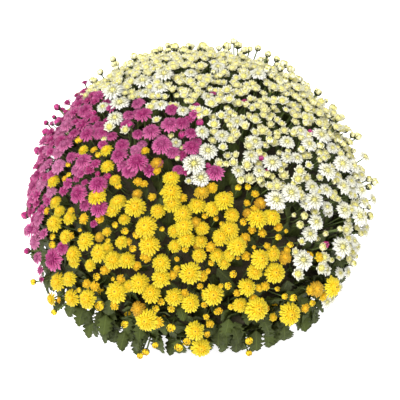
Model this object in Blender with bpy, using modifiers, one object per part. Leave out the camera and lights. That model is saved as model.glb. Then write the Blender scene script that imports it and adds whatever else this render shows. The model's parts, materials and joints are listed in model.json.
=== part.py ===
"""Pot chrysanthemum: a yellow, a magenta and a cream plant grown together into one mound over a plain pot.

Metres, +Z up, with the origin at the centre of the pot's underside and the front of the mound towards -Y.
"""

import math
import random

import bmesh
import bpy
import numpy as np
from mathutils import Matrix, Vector

SEED = 7

# The mound is the layer that the blooms' centres lie on, half an egg standing on a shorter, cut-off one.
MOUND_RADIUS = 0.293
MOUND_RISE = 0.272  # from its widest level to its top
MOUND_DROP = 0.150  # half axis below the widest level
MOUND_MIDDLE = 0.207  # height of the widest level
MOUND_EDGE = math.radians(113)  # polar angle of the lowest blooms
CORE_DEPTH = 0.033  # from the bloom layer down to the leafy mass
OUTLINE_SAMPLES = 400  # places along the mound's outline where its area is summed
AZIMUTH_JITTER = 0.03  # radians

# Blooms
BLOOM_COUNT = 352
OPEN_SHARE = {"yellow": 0.46, "magenta": 0.42, "cream": 0.16}  # of the blooms have a second whorl
OPEN_RADIUS = 0.0254
HALF_OPEN_RADIUS = 0.0211
SIZE_SPREAD = 0.09
OPEN_PETALS = 5  # in each whorl
HALF_OPEN_PETALS = 4
BLOOMS_PER_BUNCH = 8
GRIP = 0.0064  # how far a petal's tip reaches into the next bloom of its bunch
BUNCH_GAP = 0.0010  # least clear space between two blooms that do not grip
GROUPING_ROUNDS = 24
SPREADING_ROUNDS = 300
WIDE_GAP = 0.006  # the clear space that the spreading starts with, so that the blooms end up even
SPREADING_PACE = 0.3  # share of an overlap that one round takes away
FITTING_ROUNDS = 8
PULLS = 4  # a move along the mound is repeated, because it is put back onto the round surface
CLEAR = 0.0003  # gap that stands for contact
MERGE_DISTANCE = 0.00001
SHARP_ANGLE = math.radians(35)

# A whorl's petal tips and the notches between them: radius and height, as shares of the bloom's radius.
OPEN_WHORLS = (((0.62, 0.39), (0.50, 0.27)), ((1.00, 0.05), (0.80, -0.04)))
OPEN_POLES = (0.33, -0.73)
HALF_OPEN_WHORLS = (((1.00, 0.06), (0.84, -0.04)),)
HALF_OPEN_POLES = (-0.06, -1.16)
NOTCH = 0.80  # the least reach of a bloom's rim, as a share of its radius

# Where the three colours meet, seen from above, and the directions of the borders that run out from there.
MEETING = Vector((0.020, -0.172))
BORDERS = {"magenta": 172.0, "cream": 132.0, "yellow": -13.0}  # where each ends, anticlockwise
CREAM_SWING = 70.0  # degrees by which the cream border starts farther to the right, at the meeting place
CREAM_SWING_REACH = 0.153  # distance from there at which it has come round

# The leafy masses meet along a line that leans forward from the pot to the place where the colours meet.
LEAN_FOOT = Vector((0.0, -0.018, 0.165))
LEAN_TOP = Vector((*MEETING, 0.430))
CORE_TURNS = {"magenta": (144.0, 190.0), "yellow": (190.0, 326.0), "cream": (326.0, 504.0)}
CORE_STEPS = 26
CORE_RINGS = 8
CORE_EDGE = MOUND_EDGE - math.radians(4)
CORE_RELIEF = 0.0045  # by which the leafy mass rises and falls from one corner to the next
CORE_GAP = 0.0008
WEDGE_STEPS = 6
WEDGE_REACH = 1.0  # well past the mound
SKIRT_RADIUS = 0.238  # lower edge of the leafy mass
SKIRT_HEIGHT = 0.140
UNDERSIDE_HEIGHT = 0.180  # of the leafy mass over the pot
UNDERSIDE_RADIUS = 0.144
UNDERSIDE_BEND = (0.174, 0.152)  # radius and height, between that and the skirt

# Crowns, stalks, buds and leaves
CROWN_PLACES = {"yellow": (-0.012, -0.074), "magenta": (-0.076, -0.008), "cream": (0.040, 0.052)}
CROWN_RADIUS = 0.0075
CROWN_SIDES = 8
CROWN_FOOT = 0.085  # height in the soil
CROWN_TOP = 0.200  # height inside the leafy mass
CROWN_LEAN = 0.25  # share by which it is farther from the middle at its top
ROD_TAPER = 0.9  # radius of a stem's top as a share of its foot's
STALK_RADIUS = 0.0026
STALK_SIDES = 3
STALK_SINK = 0.014
BORDER_MARGIN = 0.012
BUD_COUNT = 24
BUD_RADIUS = 0.0062
BUD_TIP = 1.1  # height of a bud's tip, for a bud of radius 1
BUD_LIFT = 0.010
BUD_MARGIN = 0.0026
BUD_TRIES = 2000
BUD_CHANCE = 0.5
LEAF_COUNT = 34
LEAF_SPACING_JITTER = 0.3  # share of the spacing
LEAF_LENGTH = 0.056
LEAF_SIZES = (0.88, 1.08)
LEAF_THICKNESS = 0.0009
LEAF_ARCH = 0.30
LEAF_CUP = 0.35
LEAF_SINK = 0.016  # into the skirt, and more in the lower row
LEAF_ROWS = ({"sink": 1.0, "rise": 0.010, "droop": (14, 26)}, {"sink": 1.6, "rise": 0.004, "droop": (34, 46)})
LEAF_DROOP_STEP = 4  # degrees
LEAF_DROOP_LIMIT = 84
LEAF_MARGIN = 0.001
# Right half of a leaf of length 1, whose tip is at (0, 1)
LEAF_OUTLINE = ((0.05, -0.30), (0.36, 0.10), (0.17, 0.34), (0.40, 0.60), (0.16, 0.68))
LEAF_HALF_WIDTH = max(x for x, y in LEAF_OUTLINE)
LEAF_MIDRIB_CHECKS = (0.4, 0.7, 1.0)

# Pot and soil
POT_HEIGHT = 0.165
POT_BASE_RADIUS = 0.095
POT_TOP_RADIUS = 0.124
POT_WALL = 0.0025
RIM_HEIGHT = 0.022
RIM_REACH = 0.005
POT_STEPS = 24
DRAIN_RADIUS = 0.007
DRAIN_CIRCLE = 0.062
DRAIN_COUNT = 4
DRAIN_SIDES = 10
SOIL_BELOW_RIM = 0.022
SOIL_CROWN = 0.006  # rise of the soil's middle
SOIL_SHOULDER = (0.05, 0.7)  # radius, and share of that rise there

GOLDEN_TURN = math.pi * (3 - math.sqrt(5))

FINISHES = {  # colour and roughness
    "pot_plastic": ((0.035, 0.036, 0.038), 0.45),
    "potting_soil": ((0.055, 0.036, 0.024), 0.95),
    "foliage": ((0.070, 0.150, 0.045), 0.60),
    "yellow_petals": ((0.930, 0.640, 0.020), 0.55),
    "magenta_petals": ((0.560, 0.055, 0.290), 0.55),
    "cream_petals": ((0.900, 0.890, 0.620), 0.55),
}


def clear_scene():
    for obj in list(bpy.data.objects):
        bpy.data.objects.remove(obj)


def new_collection(name):
    collection = bpy.data.collections.new(name)
    bpy.context.scene.collection.children.link(collection)
    return collection


def finish_of(name):
    """The Principled material of that name, made the first time it is asked for."""
    found = bpy.data.materials.get(name)
    if found:
        return found
    colour, roughness = FINISHES[name]
    material = bpy.data.materials.new(name)
    material.use_nodes = True
    shader = material.node_tree.nodes["Principled BSDF"]
    shader.inputs["Base Color"].default_value = (*colour, 1.0)
    shader.inputs["Roughness"].default_value = roughness
    shader.inputs["Metallic"].default_value = 0.0
    material.diffuse_color = (*colour, 1.0)
    return material


def new_object(name, mesh, collection, placed=None):
    obj = bpy.data.objects.new(name, mesh)
    collection.objects.link(obj)
    if placed is not None:
        obj.matrix_world = placed
    return obj


def evaluated_mesh(obj):
    bpy.context.view_layer.update()
    graph = bpy.context.evaluated_depsgraph_get()
    return bpy.data.meshes.new_from_object(obj.evaluated_get(graph))


def fused(base, pieces_collection):
    """Joins every object of the collection to base, in base's own mesh, and removes them."""
    if pieces_collection.objects:
        union = base.modifiers.new("Union", "BOOLEAN")
        union.operation = "UNION"
        union.operand_type = "COLLECTION"
        union.collection = pieces_collection
        union.solver = "MANIFOLD"
        mesh = evaluated_mesh(base)
        base.modifiers.clear()
        base.data = mesh
    for obj in list(pieces_collection.objects):
        bpy.data.objects.remove(obj)
    bpy.data.collections.remove(pieces_collection)
    return base


def finished(obj, finish):
    """Gives a node its material, and smooth shading with sharp edges kept."""
    obj.data.materials.clear()
    obj.data.materials.append(finish_of(finish))
    obj.data.shade_smooth()
    obj.data.set_sharp_from_angle(angle=SHARP_ANGLE)
    return obj


def standing_along(point, direction, turn=0.0, size=1.0):
    """A frame at point whose +Z runs along direction, turned about it and scaled."""
    upright = direction.to_track_quat("Z", "Y").to_matrix().to_4x4()
    spun = Matrix.Rotation(turn, 4, "Z")
    return Matrix.Translation(point) @ upright @ spun @ Matrix.Scale(size, 4)


# The mound as a rule


def mound_point(polar, azimuth, depth=0.0):
    """The place on the bloom layer, or that far under it, at a polar angle from the top and an azimuth."""
    across = (MOUND_RADIUS - depth) * math.sin(polar)
    half_axis = MOUND_RISE if polar < math.pi / 2 else MOUND_DROP
    height = MOUND_MIDDLE + (half_axis - depth) * math.cos(polar)
    return Vector((across * math.cos(azimuth), across * math.sin(azimuth), height))


def mound_angles(point):
    """Polar angle and azimuth of the place on the mound nearest to a point beside it."""
    rise = point.z - MOUND_MIDDLE
    half_axis = MOUND_RISE if rise > 0 else MOUND_DROP
    polar = math.atan2(math.hypot(point.x, point.y) / MOUND_RADIUS, rise / half_axis)
    return polar, math.atan2(point.y, point.x)


def mound_normal(polar, azimuth):
    half_axis = MOUND_RISE if polar < math.pi / 2 else MOUND_DROP
    across = math.sin(polar) / MOUND_RADIUS
    slope = Vector((across * math.cos(azimuth), across * math.sin(azimuth), math.cos(polar) / half_axis))
    return slope.normalized()


def even_polar_angles(count):
    """Polar angles that share the mound's area evenly between count places, from the top down."""
    angles = np.linspace(0, MOUND_EDGE, OUTLINE_SAMPLES)
    across = MOUND_RADIUS * np.sin(angles)
    height = np.where(angles < math.pi / 2, MOUND_RISE, MOUND_DROP) * np.cos(angles)
    band = np.hypot(np.diff(across), np.diff(height)) * (across[1:] + across[:-1])
    share = np.concatenate([[0], np.cumsum(band)])
    return np.interp((np.arange(count) + 0.5) / count, share / share[-1], angles)


def colour_at(point):
    """The plant whose blooms cover this place, from its direction about the meeting place of the colours."""
    away = Vector((point.x, point.y)) - MEETING
    turn = math.degrees(math.atan2(away.y, away.x)) % 360
    swing = CREAM_SWING * max(0.0, 1 - away.length / CREAM_SWING_REACH)
    if BORDERS["cream"] - swing <= turn < BORDERS["magenta"]:
        return "magenta"
    if BORDERS["magenta"] <= turn < BORDERS["yellow"] % 360:
        return "yellow"
    return "cream"


def scattered_blooms():
    """Every bloom, as a dict of its place, radius, kind and colour, along a golden spiral."""
    draw = random.Random(SEED)
    blooms = []
    for index, polar in enumerate(even_polar_angles(BLOOM_COUNT)):
        azimuth = index * GOLDEN_TURN + draw.uniform(-AZIMUTH_JITTER, AZIMUTH_JITTER)
        place = mound_point(polar, azimuth)
        colour = colour_at(place)
        is_open = draw.random() < OPEN_SHARE[colour]
        radius = OPEN_RADIUS if is_open else HALF_OPEN_RADIUS
        radius *= 1 + SIZE_SPREAD * draw.uniform(-1, 1)
        blooms.append({"place": place, "radius": radius, "open": is_open, "colour": colour})
    return blooms


def middles_of(points, count):
    """Spreads bunch middles over points: the farthest first, then each to the mean of its own points."""
    middles = [points[0]]
    while len(middles) < count:
        spare = np.linalg.norm(points[:, None] - np.array(middles)[None], axis=2).min(axis=1)
        middles.append(points[spare.argmax()])
    middles = np.array(middles)
    for _ in range(GROUPING_ROUNDS):
        nearest = np.linalg.norm(points[:, None] - middles[None], axis=2).argmin(axis=1)
        middles = np.array([points[nearest == k].mean(axis=0) for k in range(count)])
    return middles, nearest


def on_mound(point):
    """The place of the bloom layer nearest to a point, no lower than the layer's edge."""
    polar, azimuth = mound_angles(point)
    return mound_point(min(polar, MOUND_EDGE), azimuth)


def bunched(blooms):
    """Lists of blooms of one colour that stand close together.

    Each bloom after a list's first grips one earlier bloom of it, and other blooms are clear of each other.
    """
    bunches = []
    for colour in ("yellow", "magenta", "cream"):
        own = [bloom for bloom in blooms if bloom["colour"] == colour]
        points = np.array([bloom["place"] for bloom in own])
        middles, nearest = middles_of(points, round(len(own) / BLOOMS_PER_BUNCH))
        for k, middle in enumerate(middles):
            bunch = [bloom for bloom, which in zip(own, nearest) if which == k]
            bunch.sort(key=lambda bloom: (bloom["place"] - Vector(middle)).length)
            for bloom in bunch:
                bloom["bunch"] = len(bunches)
            bunches.append(bunch)
            choose_grips(bunch)
    ordered = [bloom for bunch in bunches for bloom in bunch]
    for gap in np.linspace(WIDE_GAP, BUNCH_GAP, SPREADING_ROUNDS):
        spread_once(ordered, gap)
    for _ in range(FITTING_ROUNDS):
        shrink_overlaps(ordered)
        for bunch in bunches:
            choose_grips(bunch)
        pull_together(ordered)
    return bunches


def reach_between(bloom, other):
    """The spacing at which a petal of bloom, pointed at other, is sure to grip it."""
    return bloom["radius"] + NOTCH * other["radius"] - GRIP


def choose_grips(bunch):
    """Gives each bloom after the first the earlier bloom of its bunch that a petal reaches best."""
    for index, bloom in enumerate(bunch):
        slack = []
        for other in bunch[:index]:
            slack.append((bloom["place"] - other["place"]).length - reach_between(bloom, other))
        bloom["grips"] = bunch[slack.index(min(slack))] if slack else None


def spread_once(blooms, gap):
    """Moves all blooms a little: apart where two are too close, together where one grips the other."""
    places = np.array([bloom["place"] for bloom in blooms])
    radii = np.array([bloom["radius"] for bloom in blooms])
    away = places[:, None] - places[None]
    distance = np.linalg.norm(away, axis=2)
    shortfall = np.maximum(radii[:, None] + radii[None] + gap - distance, 0)
    number_of = {id(bloom): index for index, bloom in enumerate(blooms)}
    for index, bloom in enumerate(blooms):
        shortfall[index, index] = 0
        if bloom["grips"]:
            other = number_of[id(bloom["grips"])]
            shortfall[index, other] = reach_between(bloom, bloom["grips"]) - distance[index, other]
            shortfall[other, index] = shortfall[index, other]
    np.fill_diagonal(distance, 1)
    step = (away / distance[:, :, None] * shortfall[:, :, None]).sum(axis=1) * SPREADING_PACE
    for bloom, move in zip(blooms, step):
        bloom["place"] = on_mound(bloom["place"] + Vector(move))


def pull_together(blooms):
    """Moves each bloom to the one it grips, wherever the two have come apart."""
    for bloom in blooms:
        for _ in range(PULLS if bloom["grips"] else 0):
            reach = reach_between(bloom, bloom["grips"])
            away = bloom["place"] - bloom["grips"]["place"]
            if away.length > reach:
                bloom["place"] = on_mound(bloom["grips"]["place"] + away.normalized() * reach)


def shrink_overlaps(blooms):
    """Shrinks two blooms of different bunches that would meet."""
    for index, bloom in enumerate(blooms):
        for other in blooms[index + 1 :]:
            room = (bloom["place"] - other["place"]).length - BUNCH_GAP
            wanted = bloom["radius"] + other["radius"]
            if wanted > room and bloom["bunch"] != other["bunch"]:
                bloom["radius"] *= room / wanted
                other["radius"] *= room / wanted


def turn_towards(bloom, look, other):
    """The turn about its own axis that points a bloom's first petal at another bloom."""
    side = standing_along(bloom["place"], look).inverted() @ other["place"]
    return math.atan2(side.y, side.x)


# Blooms


def bloom_mesh(name, petals, whorls, poles):
    """A bloom of radius 1 that looks along +Z: a round body whose rings are drawn out into whorls of petals.

    A petal of the outer whorl points along +X.
    """
    shape = bmesh.new()
    bmesh.ops.create_uvsphere(shape, u_segments=2 * petals, v_segments=len(whorls) + 1, radius=1.0)
    step = math.pi / petals
    rings = sorted({round(vert.co.z, 4) for vert in shape.verts}, reverse=True)
    for vert in shape.verts:
        ring = rings.index(round(vert.co.z, 4))
        if ring in (0, len(rings) - 1):
            vert.co = Vector((0, 0, poles[0 if ring == 0 else 1]))
            continue
        turn = round(math.atan2(vert.co.y, vert.co.x) / step)
        is_tip = (turn + ring + len(whorls)) % 2 == 0
        radius, height = whorls[ring - 1][0 if is_tip else 1]
        vert.co = Vector((radius * math.cos(turn * step), radius * math.sin(turn * step), height))
    mesh = bpy.data.meshes.new(name)
    shape.to_mesh(mesh)
    shape.free()
    return mesh


def place_bunch(name, bunch, meshes, collection, draw):
    """One bunch of blooms whose rims grip each other, fused into one body."""
    pieces = new_collection("Blooms of " + name)
    placed = []
    for bloom in bunch:
        look = mound_normal(*mound_angles(bloom["place"]))
        turn = turn_towards(bloom, look, bloom["grips"]) if bloom["grips"] else draw.uniform(0, math.tau)
        frame = standing_along(bloom["place"], look, turn, bloom["radius"])
        mesh = meshes["open" if bloom["open"] else "half open"].copy()
        mesh.transform(frame)
        placed.append(new_object(name, mesh, pieces))
    base = placed[0]
    pieces.objects.unlink(base)
    collection.objects.link(base)
    base.name = name
    return fused(base, pieces)


# Green plants


def core_body(collection):
    """The leafy mass under the blooms, whole: a rough turned solid whose underside clears the pot."""
    polars = np.linspace(0, CORE_EDGE, CORE_RINGS)
    outer = [mound_point(polar, 0, CORE_DEPTH) for polar in polars]
    outline = [(point.x, point.z) for point in outer]
    outline += [
        (SKIRT_RADIUS, SKIRT_HEIGHT),
        UNDERSIDE_BEND,
        (UNDERSIDE_RADIUS, UNDERSIDE_HEIGHT),
        (0.0, UNDERSIDE_HEIGHT),
    ]
    profile = bpy.data.meshes.new("Leafy mass")
    verts = [(across, 0.0, height) for across, height in outline]
    profile.from_pydata(verts, [(i, i + 1) for i in range(len(verts) - 1)], [])
    body = new_object("Leafy mass", profile, collection)
    add_screw(body, CORE_STEPS)
    body.data = evaluated_mesh(body)
    body.modifiers.clear()
    roughen(body.data, polars)
    return body


def roughen(mesh, polars):
    """Lifts and sinks the corners of the leafy mass in turn, between its top and its edge."""
    for vert in mesh.vertices:
        polar, azimuth = mound_angles(vert.co)
        ring = int(np.abs(polars - polar).argmin())
        on_layer = (vert.co - mound_point(polars[ring], azimuth, CORE_DEPTH)).length < CLEAR
        if on_layer and 0 < ring < len(polars) - 1:
            step = round(azimuth * CORE_STEPS / math.tau)
            lift = CORE_RELIEF * (1 if (ring + step) % 2 else -1)
            vert.co += mound_normal(polar, azimuth) * lift


def add_screw(obj, steps):
    """Turns a profile at +X, drawn from top to bottom, into a closed solid."""
    screw = obj.modifiers.new("Screw", "SCREW")
    screw.steps = steps
    screw.render_steps = steps
    screw.use_merge_vertices = True
    screw.merge_threshold = MERGE_DISTANCE


def lean_frame():
    """A frame at the foot of the leaning line, with +Z along it and +X close to the world's."""
    along = (LEAN_TOP - LEAN_FOOT).normalized()
    across = Vector((1, 0, 0))
    across = (across - along * across.dot(along)).normalized()
    turned = Matrix((across, along.cross(across), along)).transposed().to_4x4()
    return Matrix.Translation(LEAN_FOOT) @ turned


def turn_about_lean(point):
    """Turn in degrees and distance of a point about the leaning line."""
    local = lean_frame().inverted() @ point
    return math.degrees(math.atan2(local.y, local.x)) % 360, math.hypot(local.x, local.y)


def core_at(point, margin=BORDER_MARGIN):
    """The plant whose leafy mass holds this place, or None within the margin of a border."""
    turn, away = turn_about_lean(point)
    for plant, (start, end) in CORE_TURNS.items():
        inside = (turn - start) % 360
        if inside < end - start:
            nearest = min(inside, end - start - inside)
            is_clear = nearest > 90 or away * math.sin(math.radians(nearest)) > margin
            return plant if is_clear else None
    return None


def wedge(name, start, end, collection):
    """A cutter that keeps what lies between two turns about the leaning line."""
    outline = bpy.data.curves.new(name, "CURVE")
    outline.dimensions = "2D"
    outline.fill_mode = "BOTH"
    outline.extrude = WEDGE_REACH
    gap = CORE_GAP / 2 / math.sin(math.radians((end - start) / 2))
    middle = math.radians((start + end) / 2)
    points = [(gap * math.cos(middle), gap * math.sin(middle))]
    for step in range(WEDGE_STEPS + 1):
        turn = math.radians(start + (end - start) * step / WEDGE_STEPS)
        across, along = WEDGE_REACH * math.cos(turn), WEDGE_REACH * math.sin(turn)
        points.append((points[0][0] + across, points[0][1] + along))
    spline = outline.splines.new("POLY")
    spline.points.add(len(points) - 1)
    for point, (x, y) in zip(spline.points, points):
        point.co = (x, y, 0.0, 1.0)
    spline.use_cyclic_u = True
    drawn = new_object(name, outline, collection, lean_frame())
    return as_mesh_object(drawn, collection)


def as_mesh_object(curve_object, collection):
    """The curve as a closed mesh object in world space."""
    name = curve_object.name
    mesh = evaluated_mesh(curve_object)
    mesh.transform(curve_object.matrix_world)
    bpy.data.objects.remove(curve_object)
    shape = bmesh.new()
    shape.from_mesh(mesh)
    bmesh.ops.remove_doubles(shape, verts=shape.verts, dist=MERGE_DISTANCE)
    bmesh.ops.recalc_face_normals(shape, faces=shape.faces)
    shape.to_mesh(mesh)
    shape.free()
    return new_object(name, mesh, collection)


def cut_by(obj, cutter, operation):
    cut = obj.modifiers.new("Cut", "BOOLEAN")
    cut.operation = operation
    cut.object = cutter
    cut.solver = "EXACT"
    obj.data = evaluated_mesh(obj)
    obj.modifiers.clear()
    bpy.data.objects.remove(cutter)


def rod(name, foot, top, radius, sides, collection):
    """A straight stem between two places."""
    shape = bmesh.new()
    along = top - foot
    bmesh.ops.create_cone(
        shape,
        cap_ends=True,
        segments=sides,
        radius1=radius,
        radius2=radius * ROD_TAPER,
        depth=along.length,
    )
    mesh = bpy.data.meshes.new(name)
    shape.to_mesh(mesh)
    shape.free()
    mesh.transform(standing_along((foot + top) / 2, along.normalized()))
    return new_object(name, mesh, collection)


def bud_mesh():
    """A bud of radius 1 on a stalk that thins downwards, looking along +Z."""
    shape = bmesh.new()
    bmesh.ops.create_uvsphere(shape, u_segments=4, v_segments=2, radius=1.0)
    stalk = (CORE_DEPTH + BUD_LIFT + STALK_SINK) / BUD_RADIUS
    for vert in shape.verts:
        if round(vert.co.z) != 0:
            vert.co.z = BUD_TIP if vert.co.z > 0 else -stalk
    mesh = bpy.data.meshes.new("Bud")
    shape.to_mesh(mesh)
    shape.free()
    return mesh


def leaf_mesh(collection):
    """An arched, lobed leaf of length 1 along +Y with its upper face to +Z and its stalk below the origin."""
    right = list(LEAF_OUTLINE)
    left = [(-x, y) for x, y in reversed(right)]
    outline = bpy.data.curves.new("Leaf", "CURVE")
    outline.dimensions = "2D"
    outline.fill_mode = "BOTH"
    points = right + [(0.0, 1.0)] + left
    spline = outline.splines.new("POLY")
    spline.points.add(len(points) - 1)
    for point, (x, y) in zip(spline.points, points):
        point.co = (x, y, 0.0, 1.0)
    spline.use_cyclic_u = True
    flat = as_mesh_object(new_object("Leaf", outline, collection), collection)
    for vert in flat.data.vertices:
        vert.co.z = -LEAF_ARCH * max(vert.co.y, 0.0) ** 2 - LEAF_CUP * vert.co.x**2
    thick = flat.modifiers.new("Thickness", "SOLIDIFY")
    thick.thickness = LEAF_THICKNESS / LEAF_LENGTH
    thick.offset = 0.0
    mesh = evaluated_mesh(flat)
    bpy.data.objects.remove(flat)
    return mesh


def leaf_frames(blooms, draw):
    """Where the large leaves of the skirt spring from the leafy mass, in two staggered rows.

    A leaf under a low bloom droops until it is clear of it.
    """
    for index in range(LEAF_COUNT):
        row = LEAF_ROWS[index % len(LEAF_ROWS)]
        jitter = draw.uniform(-LEAF_SPACING_JITTER, LEAF_SPACING_JITTER)
        azimuth = math.tau * (index + jitter) / LEAF_COUNT
        root = Vector((SKIRT_RADIUS - LEAF_SINK * row["sink"], 0, SKIRT_HEIGHT + row["rise"]))
        size = LEAF_LENGTH * draw.uniform(*LEAF_SIZES)
        placed = Matrix.Rotation(azimuth, 4, "Z") @ Matrix.Translation(root)
        for droop in np.arange(draw.uniform(*row["droop"]), LEAF_DROOP_LIMIT, LEAF_DROOP_STEP):
            tilted = Matrix.Rotation(-math.pi / 2, 4, "Z") @ Matrix.Rotation(-math.radians(droop), 4, "X")
            frame = placed @ tilted @ Matrix.Scale(size, 4)
            if leaf_is_clear(frame, blooms):
                yield frame
                break


def leaf_is_clear(frame, blooms):
    """True where no bloom reaches the leaf's outline or middle."""
    spots = [(0.0, y) for y in LEAF_MIDRIB_CHECKS]
    spots += [(side * x, y) for x, y in LEAF_OUTLINE[1:] for side in (-1, 1)]
    for x, y in spots:
        spot = frame @ Vector((x, y, -LEAF_ARCH * y**2 - LEAF_CUP * x**2))
        if any((spot - bloom["place"]).length < bloom["radius"] + LEAF_MARGIN for bloom in blooms):
            return False
    return True


def bud_frames(blooms, draw):
    """Where the taller buds stand: in the lanes between the bunches, clear of every bloom."""
    found = 0
    for index, polar in enumerate(even_polar_angles(BUD_TRIES)):
        azimuth = index * GOLDEN_TURN
        place = mound_point(polar, azimuth)
        room = min((place - bloom["place"]).length - bloom["radius"] for bloom in blooms)
        chance = draw.random()
        if room > BUD_RADIUS + BUD_MARGIN and chance < BUD_CHANCE and found < BUD_COUNT:
            found += 1
            look = mound_normal(polar, azimuth)
            yield standing_along(place + look * BUD_LIFT, look, 0.0, BUD_RADIUS)


def stalk_of(bunch):
    """Plant, foot and top of the stalk under the first bloom of a bunch that stands clear of the borders."""
    for bloom in bunch:
        look = mound_normal(*mound_angles(bloom["place"]))
        poles = OPEN_POLES if bloom["open"] else HALF_OPEN_POLES
        top = bloom["place"] + look * (poles[1] * bloom["radius"] - CLEAR)
        foot = bloom["place"] - look * (CORE_DEPTH + STALK_SINK)
        plant = core_at(foot, 2 * STALK_RADIUS)
        if plant and plant == core_at(top, 2 * STALK_RADIUS):
            return plant, foot, top
    raise ValueError("a bunch has no bloom clear of the borders")


def crown_line(plant):
    """Foot and top of the crown that carries a plant."""
    x, y = CROWN_PLACES[plant]
    out = 1 + CROWN_LEAN
    return Vector((x, y, CROWN_FOOT)), Vector((x * out, y * out, CROWN_TOP))


def green_plants(blooms, bunches, collection, cutters):
    """The three leafy plants, each with its crown, stalks, buds and large leaves fused in."""
    draw = random.Random(SEED + 1)
    leaf = leaf_mesh(cutters)
    bud = bud_mesh()
    growth = {plant: new_collection("Growth of " + plant) for plant in CORE_TURNS}
    for number, bunch in enumerate(bunches):
        plant, foot, top = stalk_of(bunch)
        rod(f"stalk {number}", foot, top, STALK_RADIUS, STALK_SIDES, growth[plant])
    for mesh, frames in ((leaf, leaf_frames(blooms, draw)), (bud, bud_frames(blooms, draw))):
        for frame in frames:
            corners = [(side * LEAF_HALF_WIDTH, along, 0) for side in (-1, 1) for along in (0, 1)]
            plant = core_at(frame.translation)
            if plant and {core_at(frame @ Vector(corner)) for corner in corners} == {plant}:
                placed = mesh.copy()
                placed.transform(frame)
                new_object("growth", placed, growth[plant])
    whole = core_body(cutters)
    for plant, (start, end) in CORE_TURNS.items():
        body = new_object(plant + "_plant", whole.data.copy(), collection)
        cut_by(body, wedge("Wedge", start, end, cutters), "INTERSECT")
        foot, top = crown_line(plant)
        rod("crown", foot, top, CROWN_RADIUS, CROWN_SIDES, growth[plant])
        fused(body, growth[plant])
        finished(body, "foliage")
    bpy.data.objects.remove(whole)


# Pot and soil


def turned_solid(name, outline, collection):
    """A closed solid turned from an outline of (radius, height) points that runs down its outer side."""
    mesh = bpy.data.meshes.new(name)
    verts = [(across, 0.0, height) for across, height in outline]
    closed = outline[0][0] > 0
    edges = [(i, i + 1) for i in range(len(verts) - 1)]
    if closed:
        edges.append((len(verts) - 1, 0))
    mesh.from_pydata(verts, edges, [])
    obj = new_object(name, mesh, collection)
    add_screw(obj, POT_STEPS)
    obj.data = evaluated_mesh(obj)
    obj.modifiers.clear()
    return obj


def inner_radius(height):
    """The pot wall's inner radius at a height."""
    share = height / POT_HEIGHT
    return POT_BASE_RADIUS + (POT_TOP_RADIUS - POT_BASE_RADIUS) * share - POT_WALL


def pot(collection, cutters):
    under_rim = POT_HEIGHT - RIM_HEIGHT
    wall_there = inner_radius(under_rim) + POT_WALL
    obj = turned_solid(
        "pot",
        (
            (0.0, POT_WALL),
            (inner_radius(POT_WALL), POT_WALL),
            (inner_radius(POT_HEIGHT), POT_HEIGHT),
            (POT_TOP_RADIUS + RIM_REACH, POT_HEIGHT),
            (POT_TOP_RADIUS + RIM_REACH, under_rim),
            (wall_there, under_rim),
            (POT_BASE_RADIUS, 0.0),
            (0.0, 0.0),
        ),
        collection,
    )
    for k in range(DRAIN_COUNT):
        place = Matrix.Rotation(math.tau * (k + 0.5) / DRAIN_COUNT, 3, "Z") @ Vector((DRAIN_CIRCLE, 0, 0))
        through = Vector((0, 0, 2 * POT_WALL))
        cutter = rod("Drill", place - through, place + through, DRAIN_RADIUS, DRAIN_SIDES, cutters)
        cut_by(obj, cutter, "DIFFERENCE")
    return finished(obj, "pot_plastic")


def soil(collection, cutters):
    """The root ball: potting soil with a plain hole for each crown."""
    top = POT_HEIGHT - SOIL_BELOW_RIM
    foot = POT_WALL + CLEAR
    obj = turned_solid(
        "soil",
        (
            (0.0, top + SOIL_CROWN),
            (SOIL_SHOULDER[0], top + SOIL_CROWN * SOIL_SHOULDER[1]),
            (inner_radius(top) - CLEAR, top),
            (inner_radius(foot) - CLEAR, foot),
            (0.0, foot),
        ),
        collection,
    )
    for plant in CROWN_PLACES:
        foot, top = crown_line(plant)
        along = (top - foot).normalized()
        cutter = rod("Drill", foot - along * CLEAR, top, CROWN_RADIUS + 2 * CLEAR, CROWN_SIDES, cutters)
        cut_by(obj, cutter, "DIFFERENCE")
    return finished(obj, "potting_soil")


def main():
    clear_scene()
    collection = new_collection("Pot chrysanthemum")
    cutters = new_collection("Cutters")
    blooms = scattered_blooms()
    bunches = bunched(blooms)
    meshes = {
        "open": bloom_mesh("Open bloom", OPEN_PETALS, OPEN_WHORLS, OPEN_POLES),
        "half open": bloom_mesh("Half-open bloom", HALF_OPEN_PETALS, HALF_OPEN_WHORLS, HALF_OPEN_POLES),
    }
    draw = random.Random(SEED + 2)
    numbers = {}
    for bunch in bunches:
        colour = bunch[0]["colour"]
        numbers[colour] = numbers.get(colour, 0) + 1
        name = f"{colour}_blooms_{numbers[colour]:02d}"
        finished(place_bunch(name, bunch, meshes, collection, draw), colour + "_petals")
    green_plants(blooms, bunches, collection, cutters)
    pot(collection, cutters)
    soil(collection, cutters)
    bpy.data.collections.remove(cutters)


main()
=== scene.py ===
import json
import math
import random

import bmesh
import bpy
import numpy as np
from mathutils import Matrix, Vector, noise

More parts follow.
